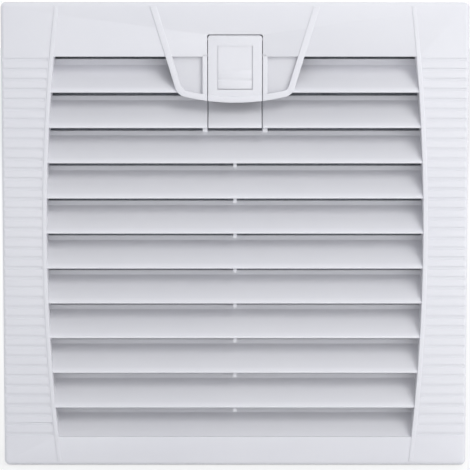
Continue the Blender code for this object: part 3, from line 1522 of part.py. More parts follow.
def build_terminal_block(parts, tools, inner_x, y, inner_z):
    """Three-pole block on the box floor, with wire entries in front and screw wells on top."""
    centre_x = sum(inner_x) / 2
    centre_z = sum(inner_z) / 2
    floor = y[0] + BOX_WALL + FIT_GAP
    block = box(
        "terminal_block", (centre_x - BLOCK_HALF_WIDTH, centre_x + BLOCK_HALF_WIDTH),
        (floor, floor + BLOCK_DEPTH), (centre_z - BLOCK_HALF_HEIGHT, centre_z + BLOCK_HALF_HEIGHT), tools,
    )
    parts.objects.link(block)
    tools.objects.unlink(block)
    wells = bmesh.new()
    pitch = 2 * BLOCK_HALF_HEIGHT / BLOCK_POLES
    for i in range(BLOCK_POLES):
        z = centre_z + (i - (BLOCK_POLES - 1) / 2) * pitch
        well = (centre_x, floor + BLOCK_DEPTH / 2, z)
        add_rod(wells, (0, 1, 0), well, BLOCK_DEPTH, 0.3 * pitch, sides=TINY_SIDES)
        entry = (centre_x + BLOCK_HALF_WIDTH / 2, floor + BLOCK_DEPTH / 4, z)
        add_rod(wells, (1, 0, 0), entry, BLOCK_HALF_WIDTH, 0.25 * pitch, sides=TINY_SIDES)
    cut(block, from_bmesh("terminal_wells", wells, tools))
    smooth(block)


def build_gland(parts, tools, wall_x, middle):
    """Cable gland through the box wall: threaded body with a hexagon flange, and its dome nut."""
    y, z = middle
    axis = (1, 0, 0)
    hexagon = GLAND_LENGTH / 3
    inside = wall_x - BOX_WALL - 2 * FIT_GAP
    length = wall_x + GLAND_LENGTH - inside
    body = rod("gland_body", axis, (inside, y, z), length, GLAND_NECK, tools, sides=SMALL_SIDES)
    parts.objects.link(body)
    tools.objects.unlink(body)
    flange = rod("gland_flange", axis, (wall_x + FIT_GAP, y, z), hexagon, GLAND_RADIUS, tools, sides=6)
    reach = (inside - OVERCUT, y, z)
    hole = rod("gland_bore", axis, reach, length + 2 * OVERCUT, GLAND_BORE, tools, sides=SMALL_SIDES)
    join(body, flange)
    cut(body, hole)
    smooth(body)
    start = wall_x + 2 * FIT_GAP + hexagon
    nut = rod("gland_nut", axis, (start, y, z), GLAND_LENGTH, GLAND_RADIUS, tools, GLAND_NUT_TOP, 12)
    parts.objects.link(nut)
    tools.objects.unlink(nut)
    before = (start - OVERCUT, y, z)
    thread_length = wall_x + GLAND_LENGTH + FIT_GAP - start + OVERCUT
    thread = rod(
        "nut_thread", axis, before, thread_length, GLAND_NECK + FIT_GAP, tools, sides=SMALL_SIDES
    )
    mouth_length = GLAND_LENGTH + 2 * OVERCUT
    mouth = rod("nut_mouth", axis, before, mouth_length, GLAND_BORE, tools, sides=SMALL_SIDES)
    cut(nut, thread, mouth)
    smooth(nut)


# Materials


def material(name, colour, roughness, metallic=0.0):
    made = bpy.data.materials.new(name)
    made.use_nodes = True
    shader = made.node_tree.nodes["Principled BSDF"]
    shader.inputs["Base Color"].default_value = (*colour, 1)
    shader.inputs["Roughness"].default_value = roughness
    shader.inputs["Metallic"].default_value = metallic
    return made


def assign_materials(parts):
    light_grey = material("light_grey_plastic", (0.76, 0.77, 0.81), 0.45)
    dark_plastic = material("dark_plastic", (0.05, 0.05, 0.055), 0.5)
    foam = material("black_foam", (0.03, 0.03, 0.03), 0.95)
    fleece = material("filter_fleece", (0.72, 0.74, 0.74), 1.0)
    cast = material("cast_aluminium", (0.55, 0.56, 0.57), 0.45, 1.0)
    steel = material("bright_steel", (0.62, 0.62, 0.63), 0.3, 1.0)
    copper = material("copper_winding", (0.6, 0.26, 0.12), 0.4, 1.0)
    rules = (
        ("louvre_cover", light_grey), ("latch_flap", light_grey), ("latch_catch", light_grey),
        ("housing_frame", light_grey),
        ("support_grid", light_grey), ("terminal_box", light_grey), ("terminal_lid", light_grey),
        ("panel_seal", foam), ("filter_mat", fleece), ("fan_frame", cast), ("fan_spider", cast),
        ("winding", copper),
        ("impeller", dark_plastic), ("rotor_cup", dark_plastic), ("terminal_block", dark_plastic),
        ("gland", dark_plastic),
    )
    for obj in parts.objects:
        found = [made for start, made in rules if obj.name.startswith(start)]
        obj.data.materials.clear()
        obj.data.materials.append(found[0] if found else steel)


def main():
    clear_scene()
    parts = new_collection(COLLECTION_NAME)
    tools = new_collection(TOOLS_NAME)
    build_cover(parts, tools)
    build_latch(parts, tools)
    build_housing(parts, tools)
    build_catch(parts, tools)
    build_hinge_pins(parts)
    build_seal(parts)
    build_mat(parts)
    build_grid(parts)
    build_clips(parts)
    build_fan_frame(parts, tools)
    build_spider(parts, tools)
    build_motor(parts)
    build_rotor(parts, tools)
    build_screws(parts, tools)
    build_guard(parts, tools)
    build_terminal_box(parts, tools)
    assign_materials(parts)


main()
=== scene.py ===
# %% [markdown]
# This file dresses a cabinet filter fan: the louvred cover that shows on a cabinet's door, and behind
# it the housing, the filter mat and the fan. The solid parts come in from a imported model, each one
# already at its place, in metres, with the cover facing -Y and the fan towards +Y. Our work is the
# part that the eye judges: fine shapes, finishes, light and camera.

import json
import math

import bmesh
import bpy
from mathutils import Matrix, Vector

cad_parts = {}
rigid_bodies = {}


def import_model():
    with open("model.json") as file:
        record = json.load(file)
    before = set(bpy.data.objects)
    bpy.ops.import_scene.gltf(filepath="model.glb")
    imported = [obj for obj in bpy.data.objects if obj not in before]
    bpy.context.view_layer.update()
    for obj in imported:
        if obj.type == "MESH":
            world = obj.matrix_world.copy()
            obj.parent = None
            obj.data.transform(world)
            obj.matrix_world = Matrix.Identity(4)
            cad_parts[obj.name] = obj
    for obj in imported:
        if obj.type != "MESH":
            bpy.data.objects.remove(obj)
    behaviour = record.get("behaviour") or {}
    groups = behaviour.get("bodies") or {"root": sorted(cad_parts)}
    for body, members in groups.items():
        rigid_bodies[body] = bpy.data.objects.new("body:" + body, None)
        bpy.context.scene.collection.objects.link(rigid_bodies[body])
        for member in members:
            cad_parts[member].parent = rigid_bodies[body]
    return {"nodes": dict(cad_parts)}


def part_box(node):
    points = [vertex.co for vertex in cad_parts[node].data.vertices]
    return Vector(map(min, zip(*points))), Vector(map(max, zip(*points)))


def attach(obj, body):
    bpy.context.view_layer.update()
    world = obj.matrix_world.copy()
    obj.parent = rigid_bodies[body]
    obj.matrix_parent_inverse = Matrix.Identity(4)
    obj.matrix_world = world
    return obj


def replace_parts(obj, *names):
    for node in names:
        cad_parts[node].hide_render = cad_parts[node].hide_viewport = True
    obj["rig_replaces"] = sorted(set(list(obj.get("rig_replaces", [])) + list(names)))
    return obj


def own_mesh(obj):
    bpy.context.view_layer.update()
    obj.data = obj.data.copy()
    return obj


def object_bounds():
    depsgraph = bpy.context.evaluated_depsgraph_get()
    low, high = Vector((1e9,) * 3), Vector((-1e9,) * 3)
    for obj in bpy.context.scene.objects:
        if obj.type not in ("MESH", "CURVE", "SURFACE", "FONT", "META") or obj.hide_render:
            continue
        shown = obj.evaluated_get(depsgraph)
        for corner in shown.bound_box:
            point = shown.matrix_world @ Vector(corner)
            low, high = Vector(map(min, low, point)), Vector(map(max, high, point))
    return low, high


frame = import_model()
cad_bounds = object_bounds()
MM = 0.001

# %% [markdown]
# Operators act on whatever is selected, and the loader leaves the solids selected. So every step
# starts from an empty selection, and each new piece is named as soon as it is added. A finished
# piece has its place in its mesh: its own origin stays at the world's origin, which keeps patterns
# in Object coordinates at one spot when a joint moves or the model is exported.


# %% Small helpers for selecting and finishing
def nothing_selected():
    if bpy.context.mode != "OBJECT":
        bpy.ops.object.mode_set(mode="OBJECT")
    bpy.ops.object.select_all(action="DESELECT")


def only(piece):
    nothing_selected()
    piece.select_set(True)
    bpy.context.view_layer.objects.active = piece
    return piece


def named(name):
    piece = bpy.context.active_object
    piece.name = name
    piece.data.name = name
    return piece


def fix_place():
    """Puts the selected piece's place, turn and size into its mesh."""
    bpy.ops.object.transform_apply(location=True, rotation=True, scale=True)


def edit(piece):
    """Opens a piece's mesh with all of it selected."""
    only(piece)
    bpy.ops.object.mode_set(mode="EDIT")
    bpy.ops.mesh.select_all(action="SELECT")


def close_edit():
    bpy.ops.object.mode_set(mode="OBJECT")


def weld(piece, distance=0.001 * MM):
    """Merges doubled corners and turns all faces outwards."""
    edit(piece)
    bpy.ops.mesh.remove_doubles(threshold=distance)
    bpy.ops.mesh.normals_make_consistent(inside=False)
    close_edit()
    return piece


def modified(piece, kind, **settings):
    """Gives a piece a modifier with these settings and applies it."""
    only(piece)
    modifier = piece.modifiers.new(kind, kind)
    for label, value in settings.items():
        setattr(modifier, label, value)
    bpy.ops.object.modifier_apply(modifier=modifier.name)
    return piece


def copied(piece, name):
    """A copy of a piece with a mesh of its own."""
    copy = piece.copy()
    copy.data = piece.data.copy()
    copy.name = name
    bpy.context.collection.objects.link(copy)
    return copy


print("helpers for selecting and finishing ready")

# %% [markdown]
# The photograph looks at the cover almost squarely, from about 1.3 m away and a little above its
# middle: the cover's sides lean in slightly towards the bottom. A long lens from that distance gives
# the same faint convergence. The camera stands level with the cover's top edge and looks down at its
# centre.

# %% Camera
COVER_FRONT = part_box("louvre_cover")[0].y
COVER_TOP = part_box("louvre_cover")[1].z
CAMERA_DISTANCE = 1.3
CAMERA_LENS = 182.7
SENSOR = 36
AIM_HEIGHT = 0.5 * MM


def add_camera():
    nothing_selected()
    place = Vector((0.0, COVER_FRONT - CAMERA_DISTANCE, COVER_TOP))
    tilt = math.atan2(place.z - AIM_HEIGHT, CAMERA_DISTANCE)
    bpy.ops.object.camera_add(location=place, rotation=(math.pi / 2 - tilt, 0, 0))
    camera = bpy.context.active_object
    camera.data.lens = CAMERA_LENS
    camera.data.sensor_width = SENSOR
    camera.data.clip_start = 0.05
    camera.data.clip_end = 50
    bpy.context.scene.camera = camera
    return camera


camera = add_camera()
print("camera at", tuple(round(v, 3) for v in camera.location))

# %% [markdown]
# World, floor and finishes are all built of shader nodes. One helper adds a node, sets its options
# and fills its inputs: an input gets either a plain value or a link from another node's output. The
# short functions after it name the few kinds of node that are needed again and again.


# %% Helpers for shader nodes
def add_node(tree, kind, inputs=None, **options):
    node = tree.nodes.new("ShaderNode" + kind)
    for label, value in options.items():
        setattr(node, label, value)
    for key, value in (inputs or {}).items():
        if isinstance(value, bpy.types.NodeSocket):
            tree.links.new(value, node.inputs[key])
        else:
            node.inputs[key].default_value = value
    return node


def add_math(tree, operation, first, second):
    return add_node(tree, "Math", {0: first, 1: second}, operation=operation).outputs[0]


def add_noise(tree, vector, scale, detail=2.0, roughness=0.5):
    inputs = {"Vector": vector, "Scale": scale, "Detail": detail, "Roughness": roughness}
    return add_node(tree, "TexNoise", inputs).outputs["Fac"]


def add_range(tree, value, low, high, to_low, to_high):
    inputs = {"Value": value, "From Min": low, "From Max": high, "To Min": to_low, "To Max": to_high}
    return add_node(tree, "MapRange", inputs).outputs["Result"]


def add_mix(tree, amount, *colours):
    """Mixes two colours, each of them a triple or another node's output."""
    first, second = ((*colour, 1) if isinstance(colour, tuple) else colour for colour in colours)
    return add_node(tree, "Mix", {0: amount, 6: first, 7: second}, data_type="RGBA").outputs[2]


print("node helpers ready")

# %% [markdown]
# The light in the photograph is a soft studio light. It comes mostly from the right and the front,
# a little from above, so the right end of each louvre is brighter than its left end, and the upper
# right corner of the frame is the brightest. Big area lamps give the soft edges, and an even world
# fills the shadows. The floor and the world are white only to the camera and to glossy reflections,
# which keeps a white background without pouring more light on the object.

# %% Light, world and floor
FLOOR_LEVEL, FLOOR_SIZE, FLOOR_WHITE_SHARE = cad_bounds[0].z, 24, 0.7
WORLD_STRENGTH, WORLD_TINT, WHITE = 0.66, (0.93, 0.95, 1.0, 1), (1, 1, 1, 1)
LAMPS = (
    # name, place, size, power
    ("key_lamp", (0.7, -1.0, 0.75), 0.6, 3.95),
    ("upper_lamp", (0.5, -1.0, 0.9), 0.5, 2.75),
    ("low_lamp", (0.4, -0.46, -0.08), 0.3, 0.44),
    ("top_lamp", (0.1, -0.5, 2.2), 1.2, 2.6),
    ("rear_lamp", (0.9, 2.0, 1.4), 1.2, 20),
    ("rear_fill", (-1.4, 1.8, 0.8), 1.2, 9),
)


def add_lamp(name, place, size, power):
    nothing_selected()
    aim = (-Vector(place)).to_track_quat("-Z", "Y").to_euler()
    bpy.ops.object.light_add(type="AREA", location=place, rotation=aim)
    lamp = bpy.context.active_object
    lamp.name = name
    lamp.data.size = size
    lamp.data.energy = power


def white_to_camera(tree, shader, white, share=1.0):
    """Shows white to the camera and in reflections, and the given shader to all other light."""
    rays = add_node(tree, "LightPath").outputs
    seen = add_math(tree, "MAXIMUM", rays["Is Camera Ray"], rays["Is Glossy Ray"])
    inputs = {0: add_math(tree, "MULTIPLY", seen, share), 1: shader.outputs[0], 2: white.outputs[0]}
    return add_node(tree, "MixShader", inputs).outputs[0]


def build_world():
    world = bpy.data.worlds.new("studio")
    bpy.context.scene.world = world
    world.use_nodes = True
    tree = world.node_tree
    tree.nodes.clear()
    fill = add_node(tree, "Background", {"Color": WORLD_TINT, "Strength": WORLD_STRENGTH})
    shown = add_node(tree, "Background", {"Color": WHITE, "Strength": 1.0})
    add_node(tree, "OutputWorld", {"Surface": white_to_camera(tree, fill, shown)})


def build_floor():
    nothing_selected()
    bpy.ops.mesh.primitive_plane_add(size=FLOOR_SIZE, location=(0, 0, FLOOR_LEVEL - 0.5 * MM))
    floor = named("floor")
    material = bpy.data.materials.new("pale_floor")
    material.use_nodes = True
    tree = material.node_tree
    matte = tree.nodes["Principled BSDF"]
    matte.inputs["Base Color"].default_value = (0.82, 0.82, 0.82, 1)
    matte.inputs["Roughness"].default_value = 0.9
    glow = add_node(tree, "Emission", {"Color": WHITE})
    surface = white_to_camera(tree, matte, glow, FLOOR_WHITE_SHARE)
    tree.links.new(surface, tree.nodes["Material Output"].inputs["Surface"])
    floor.data.materials.append(material)


for lamp in LAMPS:
    add_lamp(*lamp)
build_world()
build_floor()
bpy.context.scene.view_settings.view_transform = "Standard"
print("lamps:", len(LAMPS))

# %% [markdown]
# Several finishes share the same effects: the fine grain that a spark-eroded mould leaves on plastic,
# slow drifts of tone, dust in the hollows, and the fibres of felt and foam. Each effect is a shader
# node group with named inputs and outputs. It is built once, and every material that needs it places
# it with its own values.


# %% Helpers for shader node groups
def new_group(name, outputs, **inputs):
    """A group with a vector input, more inputs with their defaults, and outputs that are numbers."""
    group = bpy.data.node_groups.new(name, "ShaderNodeTree")
    for label, value in {"Vector": (0, 0, 0), **inputs}.items():
        kind = "NodeSocketVector" if isinstance(value, tuple) else "NodeSocketFloat"
        label = label.replace("_", " ")
        group.interface.new_socket(label, in_out="INPUT", socket_type=kind).default_value = value
    for label in outputs:
        group.interface.new_socket(label, in_out="OUTPUT", socket_type="NodeSocketFloat")
    return group, group.nodes.new("NodeGroupInput").outputs


def close_group(group, **values):
    """Links the group's results to its outputs."""
    end = group.nodes.new("NodeGroupOutput")
    for label, value in values.items():
        group.links.new(value, end.inputs[label])
    return group


GROUPS = {}
print("helpers for node groups ready")

# %% [markdown]
# Mould grain: fine bumps for the matt skin, a slow drift of tone over the whole part, and a speckle
# that varies the gloss. All three read one vector, so a material can scale them together.

# %% Node group: mould grain
def build_mould_grain():
    outputs = ("Height", "Drift", "Speckle")
    group, start = new_group("mould_grain", outputs, Grain_Scale=2500.0, Drift_Scale=14.0)
    vector, grain = start["Vector"], start["Grain Scale"]
    fine = add_noise(group, vector, grain, 2.0, 0.6)
    drift = add_noise(group, vector, start["Drift Scale"], 3.0, 0.55)
    speckle = add_noise(group, vector, add_math(group, "MULTIPLY", grain, 0.35), 1.0)
    return close_group(group, Height=fine, Drift=drift, Speckle=speckle)


GROUPS["grain"] = build_mould_grain()
print("group grain:", len(GROUPS["grain"].nodes), "nodes")

# %% [markdown]
# Dust lies in broad patches broken up by fine specks. The group puts out one mask, which a material
# uses to mix in a paler colour.

# %% Node group: dust that gathers in patches
def build_dust():
    group, start = new_group("dust", ("Mask",), Patch_Scale=30.0, Amount=0.1)
    patches = add_noise(group, start["Vector"], start["Patch Scale"], 5.0, 0.65)
    specks = add_noise(group, start["Vector"], 900.0, 2.0, 0.7)
    broad = add_range(group, patches, 0.45, 0.7, 0.0, 1.0)
    fine = add_range(group, specks, 0.5, 0.75, 0.2, 1.0)
    mask = add_math(group, "MULTIPLY", broad, fine)
    return close_group(group, Mask=add_math(group, "MULTIPLY", mask, start["Amount"]))


GROUPS["dust"] = build_dust()
print("group dust:", len(GROUPS["dust"].nodes), "nodes")

# %% [markdown]
# Fleece is a tangle of fibres. Three noises, each stretched along its own direction, cross each
# other, and the highest one wins at every point, as fibres lie over one another.

# %% Node group: fibres of felt and fleece
def build_fibres():
    group, start = new_group("fibres", ("Height", "Shade"), Fibre_Scale=260.0)
    height = None
    for turn, stretch in ((0.4, (1.0, 0.16, 0.2)), (1.5, (0.18, 1.0, 0.3)), (2.4, (0.9, 0.25, 0.14))):
        inputs = {"Rotation": (turn, turn * 0.7, turn * 1.3), "Scale": stretch}
        laid = add_node(group, "Mapping", {"Vector": start["Vector"], **inputs}).outputs["Vector"]
        layer = add_noise(group, laid, start["Fibre Scale"], 4.0, 0.7)
        height = add_math(group, "MAXIMUM", height, layer) if height else layer
    shade = add_noise(group, start["Vector"], 60.0, 4.0, 0.6)
    return close_group(group, Height=add_range(group, height, 0.4, 0.8, 0.0, 1.0), Shade=shade)


GROUPS["fibres"] = build_fibres()
print("group fibres:", len(GROUPS["fibres"].nodes), "nodes")

# %% [markdown]
# Foam is made of small round cells. A Voronoi texture's distance gives each cell a hollow, and the
# same distance marks the pore in its middle, where the colour is darkened as painted shade.

# %% Node group: open foam cells
def build_cells():
    group, start = new_group("foam_cells", ("Height", "Pore"), Cell_Scale=900.0)
    cells = add_node(group, "TexVoronoi", {"Vector": start["Vector"], "Scale": start["Cell Scale"]})
    hollow = cells.outputs["Distance"]
    return close_group(group, Height=hollow, Pore=add_range(group, hollow, 0.0, 0.35, 1.0, 0.0))


GROUPS["cells"] = build_cells()
print("group cells:", len(GROUPS["cells"].nodes), "nodes")

# %% [markdown]
# Drawn wire and rolled sheet carry fine lines along the metal's length. A noise is stretched along one
# axis for the lines, and a broad one gives the smudges that fingers leave.

# %% Node group: drawn or rolled metal
def build_rolled():
    group, start = new_group(
        "rolled_metal", ("Height", "Smudge"), Stretch=(1.0, 0.05, 1.0), Line_Scale=1400.0
    )
    stretched = add_node(
        group, "VectorMath", {0: start["Vector"], 1: start["Stretch"]}, operation="MULTIPLY"
    )
    lines = add_noise(group, stretched.outputs[0], start["Line Scale"], 3.0, 0.6)
    return close_group(group, Height=lines, Smudge=add_noise(group, start["Vector"], 55.0, 4.0, 0.6))


GROUPS["rolled"] = build_rolled()
print("node groups:", ", ".join(GROUPS))

# %% [markdown]
# A material starts with a Principled shader whose plain numbers are set on its own sockets. The
# helpers below place a group, add a bump from its height, and tint the colour by one of its masks.


# %% Helpers for materials
def new_material(name, colour, roughness, metallic=0.0, **settings):
    material = bpy.data.materials.new(name)
    material.use_nodes = True
    shader = material.node_tree.nodes["Principled BSDF"]
    shader.inputs["Base Color"].default_value = (*colour, 1)
    shader.inputs["Roughness"].default_value = roughness
    shader.inputs["Metallic"].default_value = metallic
    for label, value in settings.items():
        shader.inputs[label.replace("_", " ")].default_value = value
    return material, material.node_tree, shader


def object_coordinates(tree):
    return tree.nodes.new("ShaderNodeTexCoord").outputs["Object"]


def place_group(tree, key, vector, **values):
    values = {label.replace("_", " "): value for label, value in values.items()}
    return add_node(tree, "Group", {"Vector": vector, **values}, node_tree=GROUPS[key]).outputs


def add_bump(tree, shader, height, distance, strength=1.0):
    bump = add_node(tree, "Bump", {"Distance": distance, "Strength": strength, "Height": height})
    tree.links.new(bump.outputs["Normal"], shader.inputs["Normal"])


def vary_gloss(tree, shader, amount, roughness, less, more):
    """Lets the roughness go from a little less to a little more as a mask rises."""
    rough = add_range(tree, amount, 0.3, 0.7, roughness - less, roughness + more)
    tree.links.new(rough, shader.inputs["Roughness"])


def set_colour(tree, shader, amount, first, second):
    tree.links.new(add_mix(tree, amount, first, second), shader.inputs["Base Color"])


print("material helpers ready")

# %% [markdown]
# The cover and the housing are injection moulded in a light grey with a faint blue in it. The mould
# leaves a fine matt grain, the tone drifts by a percent or two over the part, and the gloss changes
# with it. A trace of dust keeps the flat faces from looking like a drawing. The louvre has a material
# of its own, the same moulding with painted shade: its tone falls a little just behind the front, low
# on each slope, in the shade of the blade above.


# %% Moulded plastics
def paint_slope_shade(tree, vector, unshaded, near, far, share):
    """Paints shade: darkens a colour by a share between two depths behind the front, and less on
    either side.
    """
    depth = add_node(tree, "SeparateXYZ", {0: vector}).outputs["Y"]
    rise = add_range(tree, depth, near - 2 * MM, near, 0.0, share)
    fall = add_range(tree, depth, far, far + 5 * MM, share, 0.0)
    return add_mix(tree, add_math(tree, "MINIMUM", rise, fall), unshaded, (0.0, 0.0, 0.0))


def moulded_plastic(name, colour, darker, roughness, grain=2500.0, slope_shade=None):
    material, tree, shader = new_material(name, colour, roughness, IOR=1.5)
    vector = object_coordinates(tree)
    grain_out = place_group(tree, "grain", vector, Grain_Scale=grain)
    dust_out = place_group(tree, "dust", vector, Amount=0.08)
    base = add_mix(tree, add_range(tree, grain_out["Drift"], 0.3, 0.7, 0.0, 1.0), colour, darker)
    dusty = tuple(min(1.0, value * 0.9 + 0.03) for value in colour)
    shown = add_mix(tree, dust_out["Mask"], base, dusty)
    if slope_shade:
        shown = paint_slope_shade(tree, vector, shown, *slope_shade)
    tree.links.new(shown, shader.inputs["Base Color"])
    vary_gloss(tree, shader, grain_out["Speckle"], roughness, 0.05, 0.06)
    add_bump(tree, shader, grain_out["Height"], 0.012 * MM, 0.6)
    return material


COVER_TONES = (0.766, 0.764, 0.792), (0.747, 0.746, 0.779)
cover_plastic = moulded_plastic("cover_plastic", *COVER_TONES, 0.46)
# Painted shade for the louvre: its colour darkens by a tenth between these two depths behind the
# front, and fades out on either side.
SLOPE_SHADE_NEAR, SLOPE_SHADE_FAR, SLOPE_SHADE_SHARE = -22.6 * MM, -18.5 * MM, 0.1
SLOPE_SHADE = (SLOPE_SHADE_NEAR, SLOPE_SHADE_FAR, SLOPE_SHADE_SHARE)
louvre_plastic = moulded_plastic("louvre_plastic", *COVER_TONES, 0.46, slope_shade=SLOPE_SHADE)
HOUSING_TONES = (0.74, 0.75, 0.785), (0.715, 0.727, 0.765)
housing_plastic = moulded_plastic("housing_plastic", *HOUSING_TONES, 0.5)
BLACK_TONES = (0.028, 0.029, 0.031), (0.02, 0.021, 0.023)
black_plastic = moulded_plastic("black_plastic", *BLACK_TONES, 0.42, 2200.0)
print("plastics made")


# %% [markdown]
# Metals differ by how they were shaped. Zinc-plated sheet and wire has fine drawn lines, die-cast
# aluminium has a cloudy, slightly pitted skin, and the windings show the lacquered copper wire.


# %% Metals
def drawn_steel(name, colour, roughness, stretch=(1.0, 0.05, 1.0)):
    material, tree, shader = new_material(name, colour, roughness, 1.0)
    rolled = place_group(tree, "rolled", object_coordinates(tree), Stretch=stretch)
    darker = tuple(value * 0.8 for value in colour)
    set_colour(tree, shader, add_range(tree, rolled["Smudge"], 0.35, 0.7, 0.0, 1.0), colour, darker)
    vary_gloss(tree, shader, rolled["Smudge"], roughness, 0.07, 0.1)
    add_bump(tree, shader, rolled["Height"], 0.006 * MM, 0.5)
    return material


def cast_metal(name, colour, roughness):
    material, tree, shader = new_material(name, colour, roughness, 1.0)
    vector = object_coordinates(tree)
    grain_out = place_group(tree, "grain", vector, Grain_Scale=1100.0, Drift_Scale=35.0)
    darker = tuple(value * 0.72 for value in colour)
    set_colour(tree, shader, add_range(tree, grain_out["Drift"], 0.35, 0.65, 0.0, 1.0), colour, darker)
    vary_gloss(tree, shader, grain_out["Speckle"], roughness, 0.08, 0.1)
    add_bump(tree, shader, grain_out["Height"], 0.03 * MM, 0.7)
    return material


bright_steel = drawn_steel("bright_steel", (0.62, 0.63, 0.64), 0.3)
spring_steel = drawn_steel("spring_steel", (0.5, 0.51, 0.53), 0.34, (1.0, 1.0, 0.05))
stator_steel = drawn_steel("stator_steel", (0.34, 0.34, 0.35), 0.45, (0.05, 1.0, 0.05))
cast_aluminium = cast_metal("cast_aluminium", (0.5, 0.51, 0.52), 0.46)
print("metals made")

# %% [markdown]
# The rotor cup and the finger guard are painted black over steel. Paint has a clear gloss and a slight
# orange peel, so the grain group runs at a coarse scale here, with a thin coat over the shader.


# %% Black paint on steel
def black_paint(name, colour, roughness):
    material, tree, shader = new_material(name, colour, roughness, Coat_Weight=0.3)
    vector = object_coordinates(tree)
    grain_out = place_group(tree, "grain", vector, Grain_Scale=700.0, Drift_Scale=40.0)
    paler = tuple(value * 1.8 for value in colour)
    set_colour(tree, shader, add_range(tree, grain_out["Drift"], 0.4, 0.7, 0.0, 1.0), colour, paler)
    vary_gloss(tree, shader, grain_out["Speckle"], roughness, 0.06, 0.1)
    add_bump(tree, shader, grain_out["Height"], 0.02 * MM, 0.6)
    return material


black_enamel = black_paint("black_enamel", (0.02, 0.02, 0.022), 0.32)
black_wire = black_paint("black_wire", (0.024, 0.024, 0.026), 0.38)
print("paints made")


# %% [markdown]
# The windings show lacquered copper wire lying in rings, with painted shade between the turns. The
# gasket is black foam, and the filter mat is a pale fleece with a soft sheen where single fibres stand
# up, here given a darker grey and darker low fibres as painted shade.


# %% Copper winding, foam and fleece
def copper_winding():
    material, tree, shader = new_material(
        "copper_winding", (0.58, 0.23, 0.09), 0.35, 1.0, Coat_Weight=0.4
    )
    inputs = {"Vector": object_coordinates(tree), "Scale": 420.0, "Distortion": 1.5}
    wires = add_node(tree, "TexWave", inputs, wave_type="RINGS", rings_direction="Y").outputs["Fac"]
    # Painted shade: the colour is darker in the grooves between the turns, where the bump is low.
    set_colour(tree, shader, wires, (0.34, 0.12, 0.05), (0.66, 0.28, 0.12))
    add_bump(tree, shader, wires, 0.12 * MM)
    return material


def foam_gasket():
    material, tree, shader = new_material("foam_gasket", (0.028, 0.028, 0.03), 0.95)
    cells = place_group(tree, "cells", object_coordinates(tree))
    # Painted shade: each cell's hollow is darker towards its middle.
    set_colour(tree, shader, cells["Pore"], (0.035, 0.035, 0.037), (0.008, 0.008, 0.009))
    add_bump(tree, shader, cells["Height"], 0.25 * MM)
    return material


def filter_fleece():
    material, tree, shader = new_material(
        "filter_fleece", (0.36, 0.38, 0.41), 1.0, Sheen_Weight=0.3, Sheen_Roughness=0.6
    )
    fibres = place_group(tree, "fibres", object_coordinates(tree))
    # Painted shade: low fibres are darker than high ones, and the whole mat is a darker grey than pale
    # fleece, so that the slits between the louvre blades show dark.
    tone = add_mix(tree, fibres["Height"], (0.22, 0.235, 0.26), (0.44, 0.46, 0.5))
    drift = add_range(tree, fibres["Shade"], 0.35, 0.7, 0.0, 0.5)
    set_colour(tree, shader, drift, tone, (0.34, 0.36, 0.39))
    add_bump(tree, shader, fibres["Height"], 0.5 * MM)
    return material


winding_copper = copper_winding()
foam = foam_gasket()
fleece = filter_fleece()
print("soft and wound finishes made")

# %% [markdown]
# Most moulded walls here are an outline with some thickness. An outline that has holes is drawn as a
# flat curve, which fills itself and can round its own rim; it is made a mesh before it is laid in
# place.

# %% Helpers for outlines and plates
MERGE = 0.002 * MM
LYING, ALONG_X, ONTO_X = (math.pi / 2, 0, 0), (0, math.pi / 2, 0), (0, 0, -math.pi / 2)


def arc(centre, radius, start, end, steps):
    """Points on an arc, angles in degrees."""
    angles = [math.radians(start + (end - start) * i / steps) for i in range(steps + 1)]
    return [(centre[0] + radius * math.cos(a), centre[1] + radius * math.sin(a)) for a in angles]


def curve_mesh(name, lines, closed, **settings):
    """Draws lines as one curve with these settings and turns it into a mesh."""
    nothing_selected()
    curve = bpy.data.curves.new(name, "CURVE")
    for label, value in settings.items():
        setattr(curve, label, value)
    for line in lines:
        spline = curve.splines.new("POLY")
        spline.points.add(len(line) - 1)
        for point, place in zip(spline.points, line):
            point.co = (*place, 1)
        spline.use_cyclic_u = closed
    piece = bpy.data.objects.new(name, curve)
    bpy.context.collection.objects.link(piece)
    only(piece)
    bpy.ops.object.convert(target="MESH")
    return piece


def rounded_box(u, v, radius, steps=6):
    corners = ((u[1], v[0], -90), (u[1], v[1], 0), (u[0], v[1], 90), (u[0], v[0], 180))
    points = []
    for x, z, start in corners:
        centre = (x - math.copysign(radius, x - sum(u) / 2), z - math.copysign(radius, z - sum(v) / 2))
        points += arc(centre, radius, start, start + 90, steps)
    return points


def plate(name, outlines, front, back, rounding=0.3, rings=1):
    """A plate between two levels along Y: the first outline is its edge, the others are holes."""
    piece = curve_mesh(
        name, [[(x * MM, z * MM, 0) for x, z in outline] for outline in outlines], True,
        dimensions="2D", fill_mode="BOTH", extrude=((back - front) / 2 - rounding) * MM,
        bevel_depth=rounding * MM, bevel_resolution=rings, offset=-rounding * MM,
    )
    piece.location = (0, (front + back) / 2 * MM, 0)
    piece.rotation_euler = LYING
    fix_place()
    return weld(piece, MERGE)


print("helpers for plates ready")

# %% [markdown]
# Bars, boxes and turned parts make up most of the rest. A profile is drawn corner by corner from a
# single vertex. Filled and extruded along X it makes a rail, and spun about the fan's axis it makes
# a ring, so one chain of points serves both. A Bevel modifier then breaks the edges, since no
# moulded edge is really sharp.

# %% Helpers for bars, boxes and turned shapes
def extrude(step):
    bpy.ops.mesh.extrude_region_move(TRANSFORM_OT_translate={"value": step})


